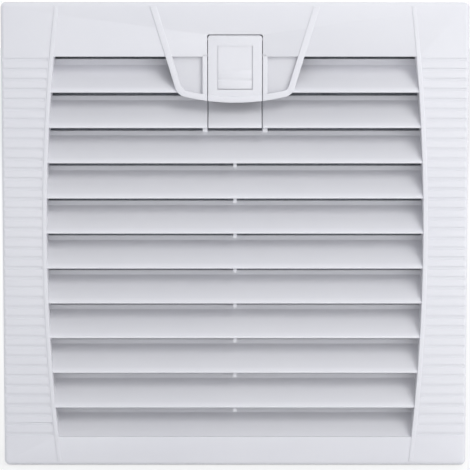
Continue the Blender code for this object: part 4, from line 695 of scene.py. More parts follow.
def draw_chain(name, points):
    """Draws a line of edges from one vertex, and leaves edit mode on."""
    nothing_selected()
    bpy.ops.mesh.primitive_plane_add(size=MM)
    piece = named(name)
    bpy.ops.object.mode_set(mode="EDIT")
    bpy.ops.mesh.merge(type="CENTER")
    bpy.ops.transform.translate(value=Vector(points[0]) * MM)
    for start, end in zip(points, points[1:]):
        extrude((Vector(end) - Vector(start)) * MM)
    bpy.ops.mesh.select_all(action="SELECT")
    return piece


def soften(piece, width, segments=2, angle=30):
    """Rounds every edge that turns by more than the angle."""
    limit = {"limit_method": "ANGLE", "angle_limit": math.radians(angle)}
    return modified(piece, "BEVEL", width=width * MM, segments=segments, **limit)


def bar(name, profile, left, right, rounding=0.3, segments=2):
    """A profile in (y, z), extruded along X."""
    piece = draw_chain(name, [(left, y, z) for y, z in profile])
    bpy.ops.mesh.edge_face_add()
    extrude(((right - left) * MM, 0, 0))
    weld(piece)
    return soften(piece, rounding, segments) if rounding else piece


def block(name, x, y, z, rounding=0.3, segments=2):
    """A cube stretched between two corners, with its edges broken."""
    nothing_selected()
    low, high = (Vector(corner) for corner in zip(x, y, z))
    bpy.ops.mesh.primitive_cube_add(size=MM, location=(low + high) / 2 * MM, scale=high - low)
    piece = named(name)
    fix_place()
    return soften(piece, rounding, segments) if rounding else piece


def rod(name, centre, radius, depth, turn, sides):
    """A plain cylinder or prism about a place, to cut a bore with or to be rounded later."""
    nothing_selected()
    bpy.ops.mesh.primitive_cylinder_add(
        vertices=sides, radius=radius * MM, depth=depth * MM, location=[v * MM for v in centre],
        rotation=turn,
    )
    return named(name)


def turned(name, profile, steps=96, closed=True):
    """Spins a profile in (radius, y) about the fan's axis."""
    chain = [(r, y, 0) for r, y in profile]
    piece = draw_chain(name, chain + chain[:1] if closed else chain)
    bpy.ops.mesh.spin(steps=steps, angle=2 * math.pi, center=(0, 0, 0), axis=(0, 1, 0))
    return weld(piece, MERGE)


print("helpers for bars, boxes and turned shapes ready")

# %% [markdown]
# Real parts come out of a mould or off a drill with their holes in them. Here a hole is cut from the
# finished piece with a second one, and the halves of an even moulding are made once and mirrored.

# %% Helpers for cutting, joining and placing
def cut_by(piece, *cutters):
    """Cuts other pieces out of this one and removes them."""
    for cutter in cutters:
        modified(piece, "BOOLEAN", operation="DIFFERENCE", object=cutter)
        bpy.data.objects.remove(cutter)
    return piece


def cut_plane(piece, place, normal, **cleared):
    """Cuts a piece at a plane, closes the cut and clears one side."""
    edit(piece)
    place = [v * MM for v in place]
    bpy.ops.mesh.bisect(plane_co=place, plane_no=normal, use_fill=True, **cleared)
    close_edit()


def joined(name, pieces):
    """Joins pieces of one moulding into one object."""
    nothing_selected()
    for piece in pieces:
        piece.select_set(True)
    bpy.context.view_layer.objects.active = pieces[0]
    bpy.ops.object.join()
    return named(name)


def mirrored(piece):
    """Adds the other half across the middle plane X = 0."""
    return modified(piece, "MIRROR", use_mirror_merge=False)


def placed(piece, x, y, z, turn=(0, 0, 0)):
    """Moves and turns a piece, and puts its place into its mesh."""
    only(piece)
    piece.location = Vector((x, y, z)) * MM
    piece.rotation_euler = turn
    fix_place()
    return piece


print("helpers for cutting, joining and placing ready")

# %% [markdown]
# Each finished piece is dressed in the same way: smooth shading that keeps the hard edges, one
# finish, the body that carries it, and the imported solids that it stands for.

# %% Helper for dressing a piece
def dress(piece, material, slot, body, *solids, angle=35):
    """Shades a piece, gives it its finish and its body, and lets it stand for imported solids."""
    only(piece)
    fix_place()
    bpy.ops.object.shade_smooth_by_angle(angle=math.radians(angle))
    piece.data.materials.clear()
    piece.data.materials.append(material)
    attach(piece, body)
    if solids:
        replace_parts(piece, *solids)
    return piece


print("helper for dressing ready")

# %% [markdown]
# The cover is one square moulding, 255 mm wide. Its window has straight edges at the top and bottom
# and bowed sides, flat arcs of more than a metre in radius. All lengths below are in millimetres,
# with the cabinet's panel at Y = 0, so the cover's front lies at -25.

# %% Sizes of the cover
COVER_HALF = 127.5
FRONT, COVER_BACK = -25.0, -4.0
COVER_WALL, CORNER_RADIUS, FRONT_RADIUS = 2.5, 3, 2.2
INSIDE = FRONT + COVER_WALL
WINDOW_HALF, WINDOW_TOP, WINDOW_BOTTOM = 103.2, 97.9, -111.6
BOW_RADIUS, BOW_STEPS = 1080.0, 28
REVEAL_WALL = 1.6
BAND, BAND_RISE = 2.2, 0.4
SLOT_HALF, SLOT_TOP = 15.1, 109.9
CHEEK_OUTSIDE, CHEEK_TOP = 17.7, 112.1


def bow_x(z, outset=0.0):
    """Half width of the window at a height."""
    return WINDOW_HALF - BOW_RADIUS + math.sqrt((BOW_RADIUS + outset) ** 2 - z * z)


def bow_side(low, high, outset):
    heights = [low + (high - low) * i / BOW_STEPS for i in range(BOW_STEPS + 1)]
    return [(bow_x(z, outset), z) for z in heights]


def window_outline(outset):
    right = bow_side(WINDOW_BOTTOM - outset, WINDOW_TOP + outset, outset)
    return right + [(-x, z) for x, z in reversed(right)]


widths = [round(2 * bow_x(z), 1) for z in (0, WINDOW_TOP)]
print("window is", widths[0], "mm wide at its middle and", widths[1], "at its top")

# %% [markdown]
# The shell is a shallow box that is open at the back. A cube gets its four corners rounded, then its
# front rim, and its back face is inset and pushed in to leave a wall. Rounding comes first, while
# the cube still has only a few edges to choose from. The window, the latch's slot and the grooves are
# cut afterwards with Boolean modifiers.

# %% Cover shell
def choose_edges(test):
    """Selects the edges of the mesh in edit mode whose two ends pass a test."""
    bpy.ops.mesh.select_all(action="DESELECT")
    mesh = bmesh.from_edit_mesh(bpy.context.active_object.data)
    for edge in mesh.edges:
        edge.select_set(test(*(corner.co / MM for corner in edge.verts)))
    mesh.select_flush_mode()


def choose_face(test):
    """Selects the faces in edit mode whose normal passes a test."""
    bpy.ops.mesh.select_all(action="DESELECT")
    mesh = bmesh.from_edit_mesh(bpy.context.active_object.data)
    for face in mesh.faces:
        face.select_set(test(face.normal))


def edit_edges(piece):
    only(piece)
    bpy.ops.object.mode_set(mode="EDIT")
    bpy.ops.mesh.select_mode(type="EDGE")


def leave_edges():
    bpy.ops.mesh.select_mode(type="VERT")
    close_edit()


def build_shell():
    depth, across = COVER_BACK - FRONT, (-COVER_HALF, COVER_HALF)
    shell = block("cover_shell", across, (FRONT, COVER_BACK), across, 0)
    edit_edges(shell)
    choose_edges(lambda a, b: abs(a.y - b.y) > depth / 2)
    bpy.ops.mesh.bevel(offset=CORNER_RADIUS * MM, segments=6)
    choose_edges(lambda a, b: a.y < FRONT + 0.1 and b.y < FRONT + 0.1)
    bpy.ops.mesh.bevel(offset=FRONT_RADIUS * MM, segments=6)
    bpy.ops.mesh.select_mode(type="FACE")
    choose_face(lambda normal: normal.y > 0.9)
    bpy.ops.mesh.inset(thickness=COVER_WALL * MM)
    extrude((0, -(depth - COVER_WALL) * MM, 0))
    leave_edges()
    print("shell:", round(2 * COVER_HALF), "mm wide,", len(shell.data.polygons), "faces")
    return shell


shell = build_shell()

# %% [markdown]
# Fine grooves run across both side strips, 39 on each side, from the outer edge to the raised band
# beside the window. They are the cover's only ornament and shallow, about half a millimetre, so they
# show as pairs of thin lines. One slightly tapered cutter is modelled and copied up the strip.
# Its inner end follows the bow.

# %% Grooves
GROOVE_COUNT, GROOVE_PITCH = 39, 5.43
GROOVE_WIDTH, GROOVE_DEPTH, GROOVE_TAPER = 1.9, 0.45, 0.12


def groove_cutter(side, z):
    ends = sorted((side * (bow_x(z, BAND) + 0.8), side * (COVER_HALF + 1)))
    half, level, outside = GROOVE_WIDTH / 2, FRONT + GROOVE_DEPTH, FRONT - 0.5
    profile = [
        (level, z - half + GROOVE_TAPER), (level, z + half - GROOVE_TAPER), (outside, z + half),
        (outside, z - half),
    ]
    return bar("groove_cutter", profile, *ends, rounding=0)


def cut_grooves(shell):
    first = (WINDOW_TOP + WINDOW_BOTTOM) / 2 + (GROOVE_COUNT - 1) * GROOVE_PITCH / 2
    heights = [first - i * GROOVE_PITCH for i in range(GROOVE_COUNT)]
    cutters = [groove_cutter(side, z) for z in heights for side in (1, -1)]
    cut_by(shell, joined("groove_cutters", cutters))


cut_grooves(shell)
print("grooves cut:", 2 * GROOVE_COUNT)

# %% [markdown]
# The window and the latch's slot go right through the front, so their cutters are plates drawn from
# the same outlines as everything beside them. Then the rim of both openings is chosen by its place
# and gets a bevel of 0.3 mm, which catches a thin line of light all round.

# %% Window and latch slot
def cut_window(shell):
    through = (FRONT - 2, -2, 0)
    slot = rounded_box((-SLOT_HALF, SLOT_HALF), (WINDOW_TOP - 20, SLOT_TOP), 1.2)
    window = plate("window_cutter", [window_outline(0)], *through)
    cut_by(shell, window, plate("slot_cutter", [slot], *through))
    edit_edges(shell)

    def on_rim(a, b):
        inside = max(abs(a.z), abs(b.z)) < 120 and max(abs(a.x), abs(b.x)) < bow_x(0) + 0.05
        return a.y < FRONT + 0.01 and b.y < FRONT + 0.01 and inside

    choose_edges(on_rim)
    bpy.ops.mesh.bevel(offset=0.3 * MM, segments=2)
    leave_edges()


cut_window(shell)
print("window and slot cut")

# %% [markdown]
# The cover swings on the housing's ears. As it opens, its lower wall comes up to them, so the wall's
# back edge has a notch at each ear, and a shallower one between them, behind the cover's own lug.

# %% Notches for the hinge
HINGE_X, HINGE_Y, HINGE_Z = 85.0, -8.0, -122.0


def cut_notches(shell):
    deep, shallow = HINGE_Y - 2.6, HINGE_Y + 2.9
    for centre in (-HINGE_X, HINGE_X):
        for left, right, front in ((-6.3, -2.5, deep), (2.5, 6.3, deep), (-2.6, 2.6, shallow)):
            height = (-COVER_HALF - 1, HINGE_Z)
            cut_by(shell, block("notch", (centre + left, centre + right), (front, 0), height, 0))


cut_notches(shell)
dress(shell, cover_plastic, "cover_plastic", "cover", "louvre_cover")
print("cover shell:", len(shell.data.polygons), "faces")

# %% [markdown]
# A raised band follows each bowed side from the cover's top edge to its bottom edge, and behind the
# window's rim stands a thin wall, the reveal, that joins the rim to the louvre blades.

# %% Bands and reveal
def build_bands():
    limit = COVER_HALF - 2.4
    right = bow_side(-limit, limit, 0.0)
    outer = bow_side(-limit, limit, BAND)
    band = plate("side_bands", [outer + right[::-1]], FRONT - BAND_RISE, FRONT + 0.8, 0.22, 2)
    return mirrored(band)


dress(build_bands(), cover_plastic, "cover_plastic", "cover")
outlines = [window_outline(REVEAL_WALL), window_outline(0)]
reveal = plate("window_reveal", outlines, INSIDE - 0.6, -9.6, 0.15)
dress(reveal, cover_plastic, "cover_plastic", "cover")
print("bands and reveal made")

# %% [markdown]
# Eleven blades fill the window. Each has an upright nose of one millimetre, a face that climbs
# steeply backwards, and an upright lip at its back, which hides the slit under the next blade. Water
# runs down the outside while air passes through the slits. The profile is extruded along X and its
# ends are cut off square to the bow, inside the reveal. Behind the shield the first blade has no nose.

# %% Louvre blades
BLADE_PITCH, TOP_NOSE, BLADE_COUNT = 19.3, 78.3, 11
BLADE_FRONT, BLADE_RUN, BLADE_NOSE, BLADE_WALL = -24.7, 12.8, 1.0, 2.0
BLADE_FOLD, BLADE_TOP, FIRST_LIP_RISE = 14.7, 17.3, 0.8
POCKET_FLOOR, SHIELD_BACK, SHIELD_HIDES = -22.8, -21.2, 28.0
LATCH_NOSE, WEB_FOOT = TOP_NOSE - BLADE_PITCH, 2.4


def blade_profile(nose_z, lip_rise=0.0):
    slope = math.hypot(BLADE_RUN, BLADE_FOLD - BLADE_NOSE)
    along = (BLADE_RUN / slope, (BLADE_FOLD - BLADE_NOSE) / slope)
    under = (BLADE_WALL * along[1], BLADE_NOSE - BLADE_WALL * along[0])
    back = BLADE_RUN + BLADE_WALL
    under_start = under[0] - under[1] * along[0] / along[1]
    under_end = under[1] + (back - under[0]) * along[1] / along[0]
    points = [
        (0, 0), (0, BLADE_NOSE), (BLADE_RUN, BLADE_FOLD), (BLADE_RUN, BLADE_TOP + lip_rise),
        (back, BLADE_TOP + lip_rise), (back, under_end), (under_start, 0),
    ]
    return [(BLADE_FRONT + y, nose_z + z) for y, z in points]


def trim_end(piece, side, z):
    """Cuts a blade's end along the bow, in the middle of the reveal wall."""
    lean = math.asin(z / BOW_RADIUS)
    place = (side * bow_x(z, REVEAL_WALL / 2), 0, z)
    cut_plane(piece, place, (side * math.cos(lean), 0, math.sin(lean)), clear_outer=True)


def blade_spans(i):
    """The stretches of a blade. The top two stop at the slot, and the first runs behind the shield."""
    reach = WINDOW_HALF + 3
    if i > 1:
        return [(-reach, reach)]
    inner = SHIELD_HIDES if i == 0 else SLOT_HALF
    return [(-reach, -inner), (inner, reach)]


def build_blades():
    blades = []
    for i in range(BLADE_COUNT):
        nose = TOP_NOSE - i * BLADE_PITCH
        profile = blade_profile(nose, 0 if i else FIRST_LIP_RISE)
        for left, right in blade_spans(i):
            blade = bar(f"blade_{i + 1}", profile, left, right, 0.35, 3)
            for end, outermost in ((1, right), (-1, -left)):
                if outermost > WINDOW_HALF:
                    trim_end(blade, end, nose + BLADE_TOP / 2)
            blades.append(blade)
    for left, right in ((-SHIELD_HIDES, -SLOT_HALF), (SLOT_HALF, SHIELD_HIDES)):
        hidden = bar("blade_behind_shield", blade_profile(TOP_NOSE, FIRST_LIP_RISE), left, right, 0)
        cut_plane(hidden, (0, POCKET_FLOOR + 0.6, 0), (0, 1, 0), clear_inner=True)
        blades.append(hidden)
    louvre = joined("louvre_blades", blades)
    cut_plane(louvre, (0, 0, WINDOW_BOTTOM - REVEAL_WALL / 2), (0, 0, 1), clear_inner=True)
    return louvre


louvre = dress(build_blades(), louvre_plastic, "cover_plastic", "cover")
print("louvre:", BLADE_COUNT, "blades,", len(louvre.data.polygons), "faces")

# %% [markdown]
# A narrow web in the middle ties each blade to the next one, and shows in the slits as a small light
# square. The mould needs it to keep the long blades from sagging.

# %% Webs under the blades
def build_webs():
    webs = []
    for i in range(2, BLADE_COUNT - 1):
        nose = TOP_NOSE - i * BLADE_PITCH
        profile = blade_profile(nose)
        front, back, top = profile[6][0] - 0.5, profile[5][0] - 0.6, profile[5][1] + 0.6
        foot = nose - WEB_FOOT
        outline = [(front, foot), (front, nose + 0.5), (back, top), (back, foot)]
        webs.append(bar(f"web_{i}", outline, -0.95, 0.95, 0.1, 1))
    return joined("blade_webs", webs)


dress(build_webs(), louvre_plastic, "cover_plastic", "cover")
print("webs made")

# %% [markdown]
# The shield hangs from the cover's top edge over the first blades and carries the latch. A raised
# rim follows its slanted sides and its curved lip, and two sunk pockets lie inside the rim, where
# fingertips reach the latch. Both halves are alike, so the right one is modelled and mirrored.

# %% Shield round the latch
SHIELD_TOP_HALF, SHIELD_SLANT, SHIELD_LIP = 47.0, 0.31, 72.9
LIP_RADIUS, SHIELD_CORNER, RIM_WIDTH, RIM_RISE = 120.0, 7.0, 3.4, 0.5
LIP_CENTRE = SHIELD_LIP + LIP_RADIUS


def shield_corner():
    """Centre of the fillet between the slanted side and the curved lip."""
    norm = math.hypot(1, SHIELD_SLANT)
    base = SHIELD_TOP_HALF - SHIELD_SLANT * COVER_HALF - SHIELD_CORNER * norm
    a = 1 + SHIELD_SLANT**2
    b = 2 * (base * SHIELD_SLANT - LIP_CENTRE)
    c = base**2 + LIP_CENTRE**2 - (LIP_RADIUS - SHIELD_CORNER) ** 2
    z = (-b - math.sqrt(b * b - 4 * a * c)) / (2 * a)
    return base + SHIELD_SLANT * z, z


def lip_z(x, inset=0.0):
    return LIP_CENTRE - math.sqrt((LIP_RADIUS - inset) ** 2 - x * x)


def shield_side(inset, top):
    """The shield's right edge from its top down to the latch's slot."""
    corner = shield_corner()
    top_x = SHIELD_TOP_HALF - SHIELD_SLANT * (COVER_HALF - top) - inset * math.hypot(1, SHIELD_SLANT)
    side_angle = math.degrees(math.atan2(-SHIELD_SLANT, 1))
    lip_angle = math.degrees(math.atan2(corner[1] - LIP_CENTRE, corner[0]))
    points = [(top_x, top)]
    points += arc(corner, SHIELD_CORNER - inset, side_angle, lip_angle, 8)
    points += arc((0, LIP_CENTRE), LIP_RADIUS - inset, lip_angle, -90, 16)[1:]
    return [p for p in points if p[0] > SLOT_HALF] + [(SLOT_HALF, lip_z(SLOT_HALF, inset))]


def slot_cheek():
    """Wall beside the latch's slot. Below the shield it stays behind the second blade."""
    profile = blade_profile(LATCH_NOSE)
    web_front, (end_y, end_z) = profile[6][0] - 0.5, profile[5]
    front, back, foot = INSIDE - 0.4, -10.2, LATCH_NOSE - WEB_FOOT
    outline = [
        (front, CHEEK_TOP), (front, SHIELD_LIP + 2.2), (end_y - 0.9, end_z + 2.1),
        (end_y - 0.9, end_z + 0.6), (web_front, LATCH_NOSE + 0.5), (web_front, foot), (back, foot),
        (back, CHEEK_TOP),
    ]
    return bar("cheek", outline, SLOT_HALF, CHEEK_OUTSIDE, 0.15)


def build_shield():
    top, limit = WINDOW_TOP + 1.2, COVER_HALF - 2.4
    base_outline = shield_side(0.1, top) + [(SLOT_HALF, top)]
    rim_outline = shield_side(0, limit) + shield_side(RIM_WIDTH, limit)[::-1]
    border_outline = [(x, lip_z(x, 1)) for x in (SLOT_HALF, CHEEK_OUTSIDE)]
    border_outline += [(CHEEK_OUTSIDE, top), (SLOT_HALF, top)]
    base = plate("shield_base", [base_outline], POCKET_FLOOR, SHIELD_BACK, 0.3)
    rim = plate("shield_rim", [rim_outline], FRONT - RIM_RISE, INSIDE - 0.1, 0.28, 2)
    border = plate("slot_border", [border_outline], FRONT, SHIELD_BACK - 0.2, 0.2, 2)
    return mirrored(joined("shield", [base, rim, border, slot_cheek()]))


# The shield takes the louvre's finish, so its pocket floors also get the painted shade.
shield = dress(build_shield(), louvre_plastic, "cover_plastic", "cover")
print("shield:", len(shield.data.polygons), "faces")

# %% [markdown]
# Behind the front, a shelf with a peg between the cheeks carries the latch's spring, and two lugs at
# the cover's foot turn on the hinge pins. They show when the cover is open.

# %% Spring shelf and hinge lugs
PIVOT_Y, PIVOT_Z = -23.1, 107.3
PAD_Z = PIVOT_Z - 2.8
SHELF_TOP = PIVOT_Z - 11.8
SPRING_Y, SPRING_RADIUS, SPRING_WIRE, SPRING_TURNS = PIVOT_Y + 7.9, 2.4, 0.6, 5


def upright(profile, name, x, y):
    """A turned shape that stands on a vertical axis, from a profile in (radius, height)."""
    return placed(turned(name, profile, 32, closed=False), x, y, 0, LYING)


def build_shelf():
    across = (-SLOT_HALF - 0.4, SLOT_HALF + 0.4)
    shelf = block("shelf", across, (SPRING_Y - 3.6, -10.5), (SHELF_TOP - 2, SHELF_TOP))
    foot, shoulder, tip = SHELF_TOP - 0.5, SHELF_TOP + 1.9, SHELF_TOP + 2.4
    peg = [(0, foot), (1.8, foot), (1.8, shoulder), (1.3, tip), (0, tip)]
    return joined("spring_shelf", [shelf, upright(peg, "spring_peg", 0, SPRING_Y)])


def build_lug(centre):
    """Lug with a rounded end and a bore for the hinge pin."""
    outline = [(INSIDE - 0.5, -125.2), (HINGE_Y, -124.6)]
    outline += arc((HINGE_Y, HINGE_Z), 2.6, -90, 90, 12) + [(INSIDE - 0.5, HINGE_Z + 2.6)]
    lug = bar("hinge_lug", outline, centre - 2.5, centre + 2.5, 0.2)
    return cut_by(lug, rod("lug_bore", (centre, HINGE_Y, HINGE_Z), 1.8, 12, ALONG_X, 32))


inner_parts = joined("cover_inner_parts", [build_shelf(), build_lug(-HINGE_X), build_lug(HINGE_X)])
dress(inner_parts, cover_plastic, "cover_plastic", "cover")
print("shelf and lugs made")

# %% [markdown]
# The latch is a flap in the middle of the shield. A fingertip behind its curved lip pulls it, it
# tilts on a steel pin near its top, and the nose at the back lets go of the housing's catch. The front
# has a sunk field with two low bars for the finger. A piece of the second blade belongs to the flap
# and moves with it. Its top edge is slanted off, so that it clears the slot as the flap tilts.

# %% Latch flap
LATCH_HALF, LATCH_TOP = 14.75, 109.5
GRIP_HALF, GRIP_TOP, GRIP_LOW = 9.65, 103.7, 80.4
GRIP_BARS = ((90.4, 85.8), (84.6, 80.4))
LATCH_SPREAD = math.degrees(math.asin(LATCH_HALF / LIP_RADIUS))


def flap_face():
    face = arc((0, LIP_CENTRE), LIP_RADIUS, -90 - LATCH_SPREAD, -90 + LATCH_SPREAD, 20)
    face += arc((LATCH_HALF - 1.5, LATCH_TOP - 1.5), 1.5, 0, 90, 6)
    return face + arc((1.5 - LATCH_HALF, LATCH_TOP - 1.5), 1.5, 90, 180, 6)


def build_flap_plate():
    flap = plate("flap_plate", [flap_face()], FRONT, INSIDE, 0.35, 2)
    across, upwards, sunk = (-GRIP_HALF, GRIP_HALF), (GRIP_LOW, GRIP_TOP), (FRONT - 1, FRONT + 0.8)
    cutters = [block("grip_field", across, (FRONT - 1, FRONT + 0.35), upwards, 0)]
    for x in (0.22 - GRIP_HALF, GRIP_HALF - 0.22):
        cutters.append(block("grip_line", (x - 0.22, x + 0.22), sunk, upwards, 0))
    cutters.append(block("grip_foot", across, sunk, (GRIP_LOW - 0.4, GRIP_LOW), 0))
    slant = [(FRONT - 1, LATCH_TOP - 1.8), (FRONT + 1.8, LATCH_TOP + 1), (FRONT - 1, LATCH_TOP + 1)]
    cutters.append(bar("flap_top_edge", slant, -LATCH_HALF - 1, LATCH_HALF + 1, 0))
    cut_by(flap, *cutters)
    half, depth = GRIP_HALF - 0.5, (FRONT + 0.15, FRONT + 0.8)
    bars = [block("grip_bar", (-half, half), depth, (low, top), 0.1) for top, low in GRIP_BARS]
    return joined("flap_plate", [flap] + bars)


def flap_rim():
    """The shield's raised rim runs on across the foot of the flap."""
    inner = math.degrees(math.asin(LATCH_HALF / (LIP_RADIUS - RIM_WIDTH)))
    outline = arc((0, LIP_CENTRE), LIP_RADIUS, -90 - LATCH_SPREAD, -90 + LATCH_SPREAD, 20)
    outline += arc((0, LIP_CENTRE), LIP_RADIUS - RIM_WIDTH, -90 + inner, -90 - inner, 20)
    return plate("flap_rim", [outline], FRONT - RIM_RISE, FRONT + 0.8, 0.28, 2)


def flap_side():
    """Side wall between the plate and the flap's piece of louvre."""
    inner = INSIDE - 0.6
    fold_y, fold_z = BLADE_FRONT + BLADE_RUN, LATCH_NOSE + BLADE_FOLD
    outline = [
        (inner, SHIELD_LIP + 1), (inner, 91.5), (fold_y + 1, fold_z + 4.6), (fold_y + 1, fold_z),
        (fold_y - 1, fold_z - 0.6),
    ]
    return bar("flap_side", outline, 13.25, 14.45, 0.2)


def flap_arm():
    """Arm behind the pin: it rests on the spring and ends in the nose under the catch."""
    back = -8.7
    front = back - 1.7
    root = INSIDE - 0.6
    pad_back, top = PIVOT_Y + 10.9, PIVOT_Z + 9.9
    outline = [
        (root, PIVOT_Z - 6.6), (pad_back - 5.6, PAD_Z), (pad_back, PAD_Z), (front - 1.7, top - 4.6),
        (back, top - 3.74), (back, top), (front, top), (front, top - 2.55), (front - 2.55, top - 3.4),
        (PIVOT_Y + 5.45, PIVOT_Z + 2.2), (root, PIVOT_Z - 1.1),
    ]
    return bar("flap_arm", outline, -5, 5, 0.25)


def build_flap():
    half, centre = LATCH_HALF - 0.3, (0, PIVOT_Y, PIVOT_Z)
    knuckle = bar("flap_knuckle", arc(centre[1:], 1.8, 0, 345, 23), -half, half, 0)
    cut_by(knuckle, rod("pin_bore", centre, 1.05, 40, ALONG_X, 24))
    side, half = mirrored(flap_side()), LATCH_HALF - 0.15
    louvre_piece = bar("flap_louvre", blade_profile(LATCH_NOSE), -half, half, 0.35, 3)
    pieces = [build_flap_plate(), flap_rim(), louvre_piece, side, flap_arm(), knuckle]
    return joined("latch_tab", pieces)


tab = dress(build_flap(), louvre_plastic, "cover_plastic", "latch", "latch_flap")
print("latch flap:", len(tab.data.polygons), "faces")

# %% [markdown]
# The latch's spring is a short compression spring of 0.6 mm wire. A circle of the wire's section is
# swept along a helix by the Screw modifier; its ends are capped. The flap's arm comes down on it as
# the flap is pulled.

# %% Latch spring
def build_spring():
    low, high = SHELF_TOP + 0.6, PAD_Z - 0.6
    nothing_selected()
    bpy.ops.mesh.primitive_circle_add(
        vertices=12, radius=SPRING_WIRE / 2 * MM, location=(SPRING_RADIUS * MM, 0, 0), rotation=LYING
    )
    spring = named("wound_spring")
    fix_place()
    modified(
        spring, "SCREW", angle=2 * math.pi, iterations=SPRING_TURNS, steps=28, render_steps=28,
        screw_offset=(high - low) / SPRING_TURNS * MM, use_merge_vertices=False,
    )
    edit(spring)
    bpy.ops.mesh.select_all(action="DESELECT")
    bpy.ops.mesh.select_non_manifold()
    bpy.ops.mesh.edge_face_add()
    close_edit()
    weld(spring, MERGE)
    return placed(spring, 0, SPRING_Y, low)


spring = dress(build_spring(), spring_steel, "bright_steel", "cover", "latch_spring", angle=60)
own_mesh(spring)
print("spring:", len(spring.data.polygons), "faces")

# %% [markdown]
# The housing is a square tray with a flange that clamps against the panel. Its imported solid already
# has the real form, but each of its edges is razor sharp. A copy of that mesh is merged, its flat
# faces are dissolved into single faces, and a Bevel modifier breaks the edges, as the mould's
# radii do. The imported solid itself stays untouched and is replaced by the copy. The small mouldings
# are treated in the same way.

# %% Housing and small mouldings with their edges broken
def softened_copy(solid, name, width):
    copy = copied(frame["nodes"][solid], name)
    copy.data.name = name
    for key in [key for key in copy.keys() if key.startswith("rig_")]:
        del copy[key]
    copy.parent = None
    edit(copy)
    bpy.ops.mesh.remove_doubles(threshold=0.01 * MM)
    bpy.ops.mesh.dissolve_limited(angle_limit=math.radians(1))
    close_edit()
    return soften(copy, width, 2, 40)


MOULDINGS = (
    # solid, piece, edge radius in mm
    ("housing_frame", "housing_tray", 0.4),
    ("latch_catch", "catch_hook", 0.2),
    ("terminal_box", "terminal_case", 0.3),
    ("terminal_lid", "terminal_cover", 0.35),
    ("support_grid", "mat_grid", 0.3),
)
for solid, name, width in MOULDINGS:
    piece = softened_copy(solid, name, width)
    dress(piece, housing_plastic, "housing_plastic", "housing", solid)
    print(name, "has", len(piece.data.polygons), "faces")

# %% [markdown]
# The gasket between flange and panel is a ring of soft closed-cell foam. It is drawn as a flat curve
# with a hole and a generous rounding, because cut foam has no crisp edge.

# %% Foam gasket
SEAL_INSIDE, SEAL_OUTSIDE = 112.3, 117.8
outlines = [
    rounded_box((-SEAL_OUTSIDE, SEAL_OUTSIDE), (-SEAL_OUTSIDE, SEAL_OUTSIDE), 3),
    rounded_box((-SEAL_INSIDE, SEAL_INSIDE), (-SEAL_INSIDE, SEAL_INSIDE), 1.5),
]
gasket = plate("foam_ring", outlines, -1.98, -0.02, 0.55, 3)
dress(gasket, foam, "foam_seal", "housing", "panel_seal", angle=60)
print("gasket:", len(gasket.data.polygons), "faces")

# %% [markdown]
# The filter mat is a pad of bonded polyester fleece, 17 mm thick. It is soft: its faces bulge and
# ripple a little, and its edges are round. A cube is subdivided into a fine grid and two soft noise
# textures displace it. It stays inside the tray's walls.

# %% Filter mat
MAT_HALF, MAT_FRONT, MAT_BACK = 108.6, -4.9, 11.9


def build_mat():
    across = (-MAT_HALF, MAT_HALF)
    mat = block("fleece_mat", across, (MAT_FRONT + 0.4, MAT_BACK - 0.2), across, 4, 4)
    modified(mat, "REMESH", mode="VOXEL", voxel_size=1.9 * MM)
    for name, size, strength in (("ripple", 0.03, 0.7), ("tufts", 0.006, 0.35)):
        texture = bpy.data.textures.new(name, "CLOUDS")
        texture.noise_scale = size
        modified(
            mat, "DISPLACE", texture=texture, texture_coords="LOCAL", strength=strength * MM,
            mid_level=1.0,
        )
    return mat


mat = build_mat()
dress(mat, fleece, "filter_fleece", "housing", "filter_mat", angle=80)
print("mat:", len(mat.data.polygons), "faces")

# %% [markdown]
# Eight clips of folded spring steel hold the housing in the cut-out. Each is a strip of 0.8 mm sheet:
# a foot in a pocket of the wall, a tight fold, and a leaf that springs out behind the panel. The strip
# is drawn as a line in (x, y), given its thickness by Solidify, and copied round the four walls.

# %% Spring clips
TRAY_HALF, CLIP_SHIFT, CLIP_WIDTH, CLIP_STEEL = 111.5, 55.0, 14.0, 0.8


def clip_line():
    foot = TRAY_HALF - CLIP_STEEL / 2
    fold = arc((foot + 1.2, 26.0), 1.2, 180, 0, 8)
    line = [(foot, 6.2), (foot, 12), (foot, 20)] + fold
    line += [(foot + 2.9, 22), (115.0, 5.2), (115.25, 4.2), (115.0, 3.3), (114.5, 2.9)]
    return line


def build_clip():
    clip = draw_chain("spring_clip", [(x, y, -CLIP_WIDTH / 2) for x, y in clip_line()])
    extrude((0, 0, CLIP_WIDTH * MM))
    close_edit()
    modified(clip, "SOLIDIFY", thickness=CLIP_STEEL * 0.95 * MM, offset=0)
    weld(clip, MERGE)
    return soften(clip, 0.12, 2, 50)


def place_clips():
    model = build_clip()
    for i in range(8):
        clip = copied(model, f"steel_clip_{i + 1}")
        placed(clip, 0, 0, (-CLIP_SHIFT, CLIP_SHIFT)[i % 2])
        placed(clip, 0, 0, 0, (0, -math.radians(90 * (i // 2)), 0))
        dress(clip, spring_steel, "bright_steel", "housing", f"spring_clip_{i + 1}")
    bpy.data.objects.remove(model)


place_clips()
print("eight clips placed")

# %% [markdown]
# The fan's ring is one aluminium die casting: a tube between two flanges, each a disc with two sides
# cut off flat. The flanges are flat curves with holes for the bore and the four screws, and the tube
# is a turned profile with a flared inlet, spun in 144 steps so that no facet shows.

# %% Fan ring
FAN_FRONT, FAN_BACK = 34.3, 85.3
RIM_RADIUS, FLAT, BORE, TUBE_OUTSIDE, FLANGE = 86.0, 75.0, 72.5, 74.7, 4.0
SCREW_CIRCLE, SCREW_HOLE = 81, 2.3
SCREW_ANGLES = [math.radians(angle) for angle in (22, 158, 202, 338)]
SCREW_SPOTS = [(SCREW_CIRCLE * math.cos(a), SCREW_CIRCLE * math.sin(a)) for a in SCREW_ANGLES]


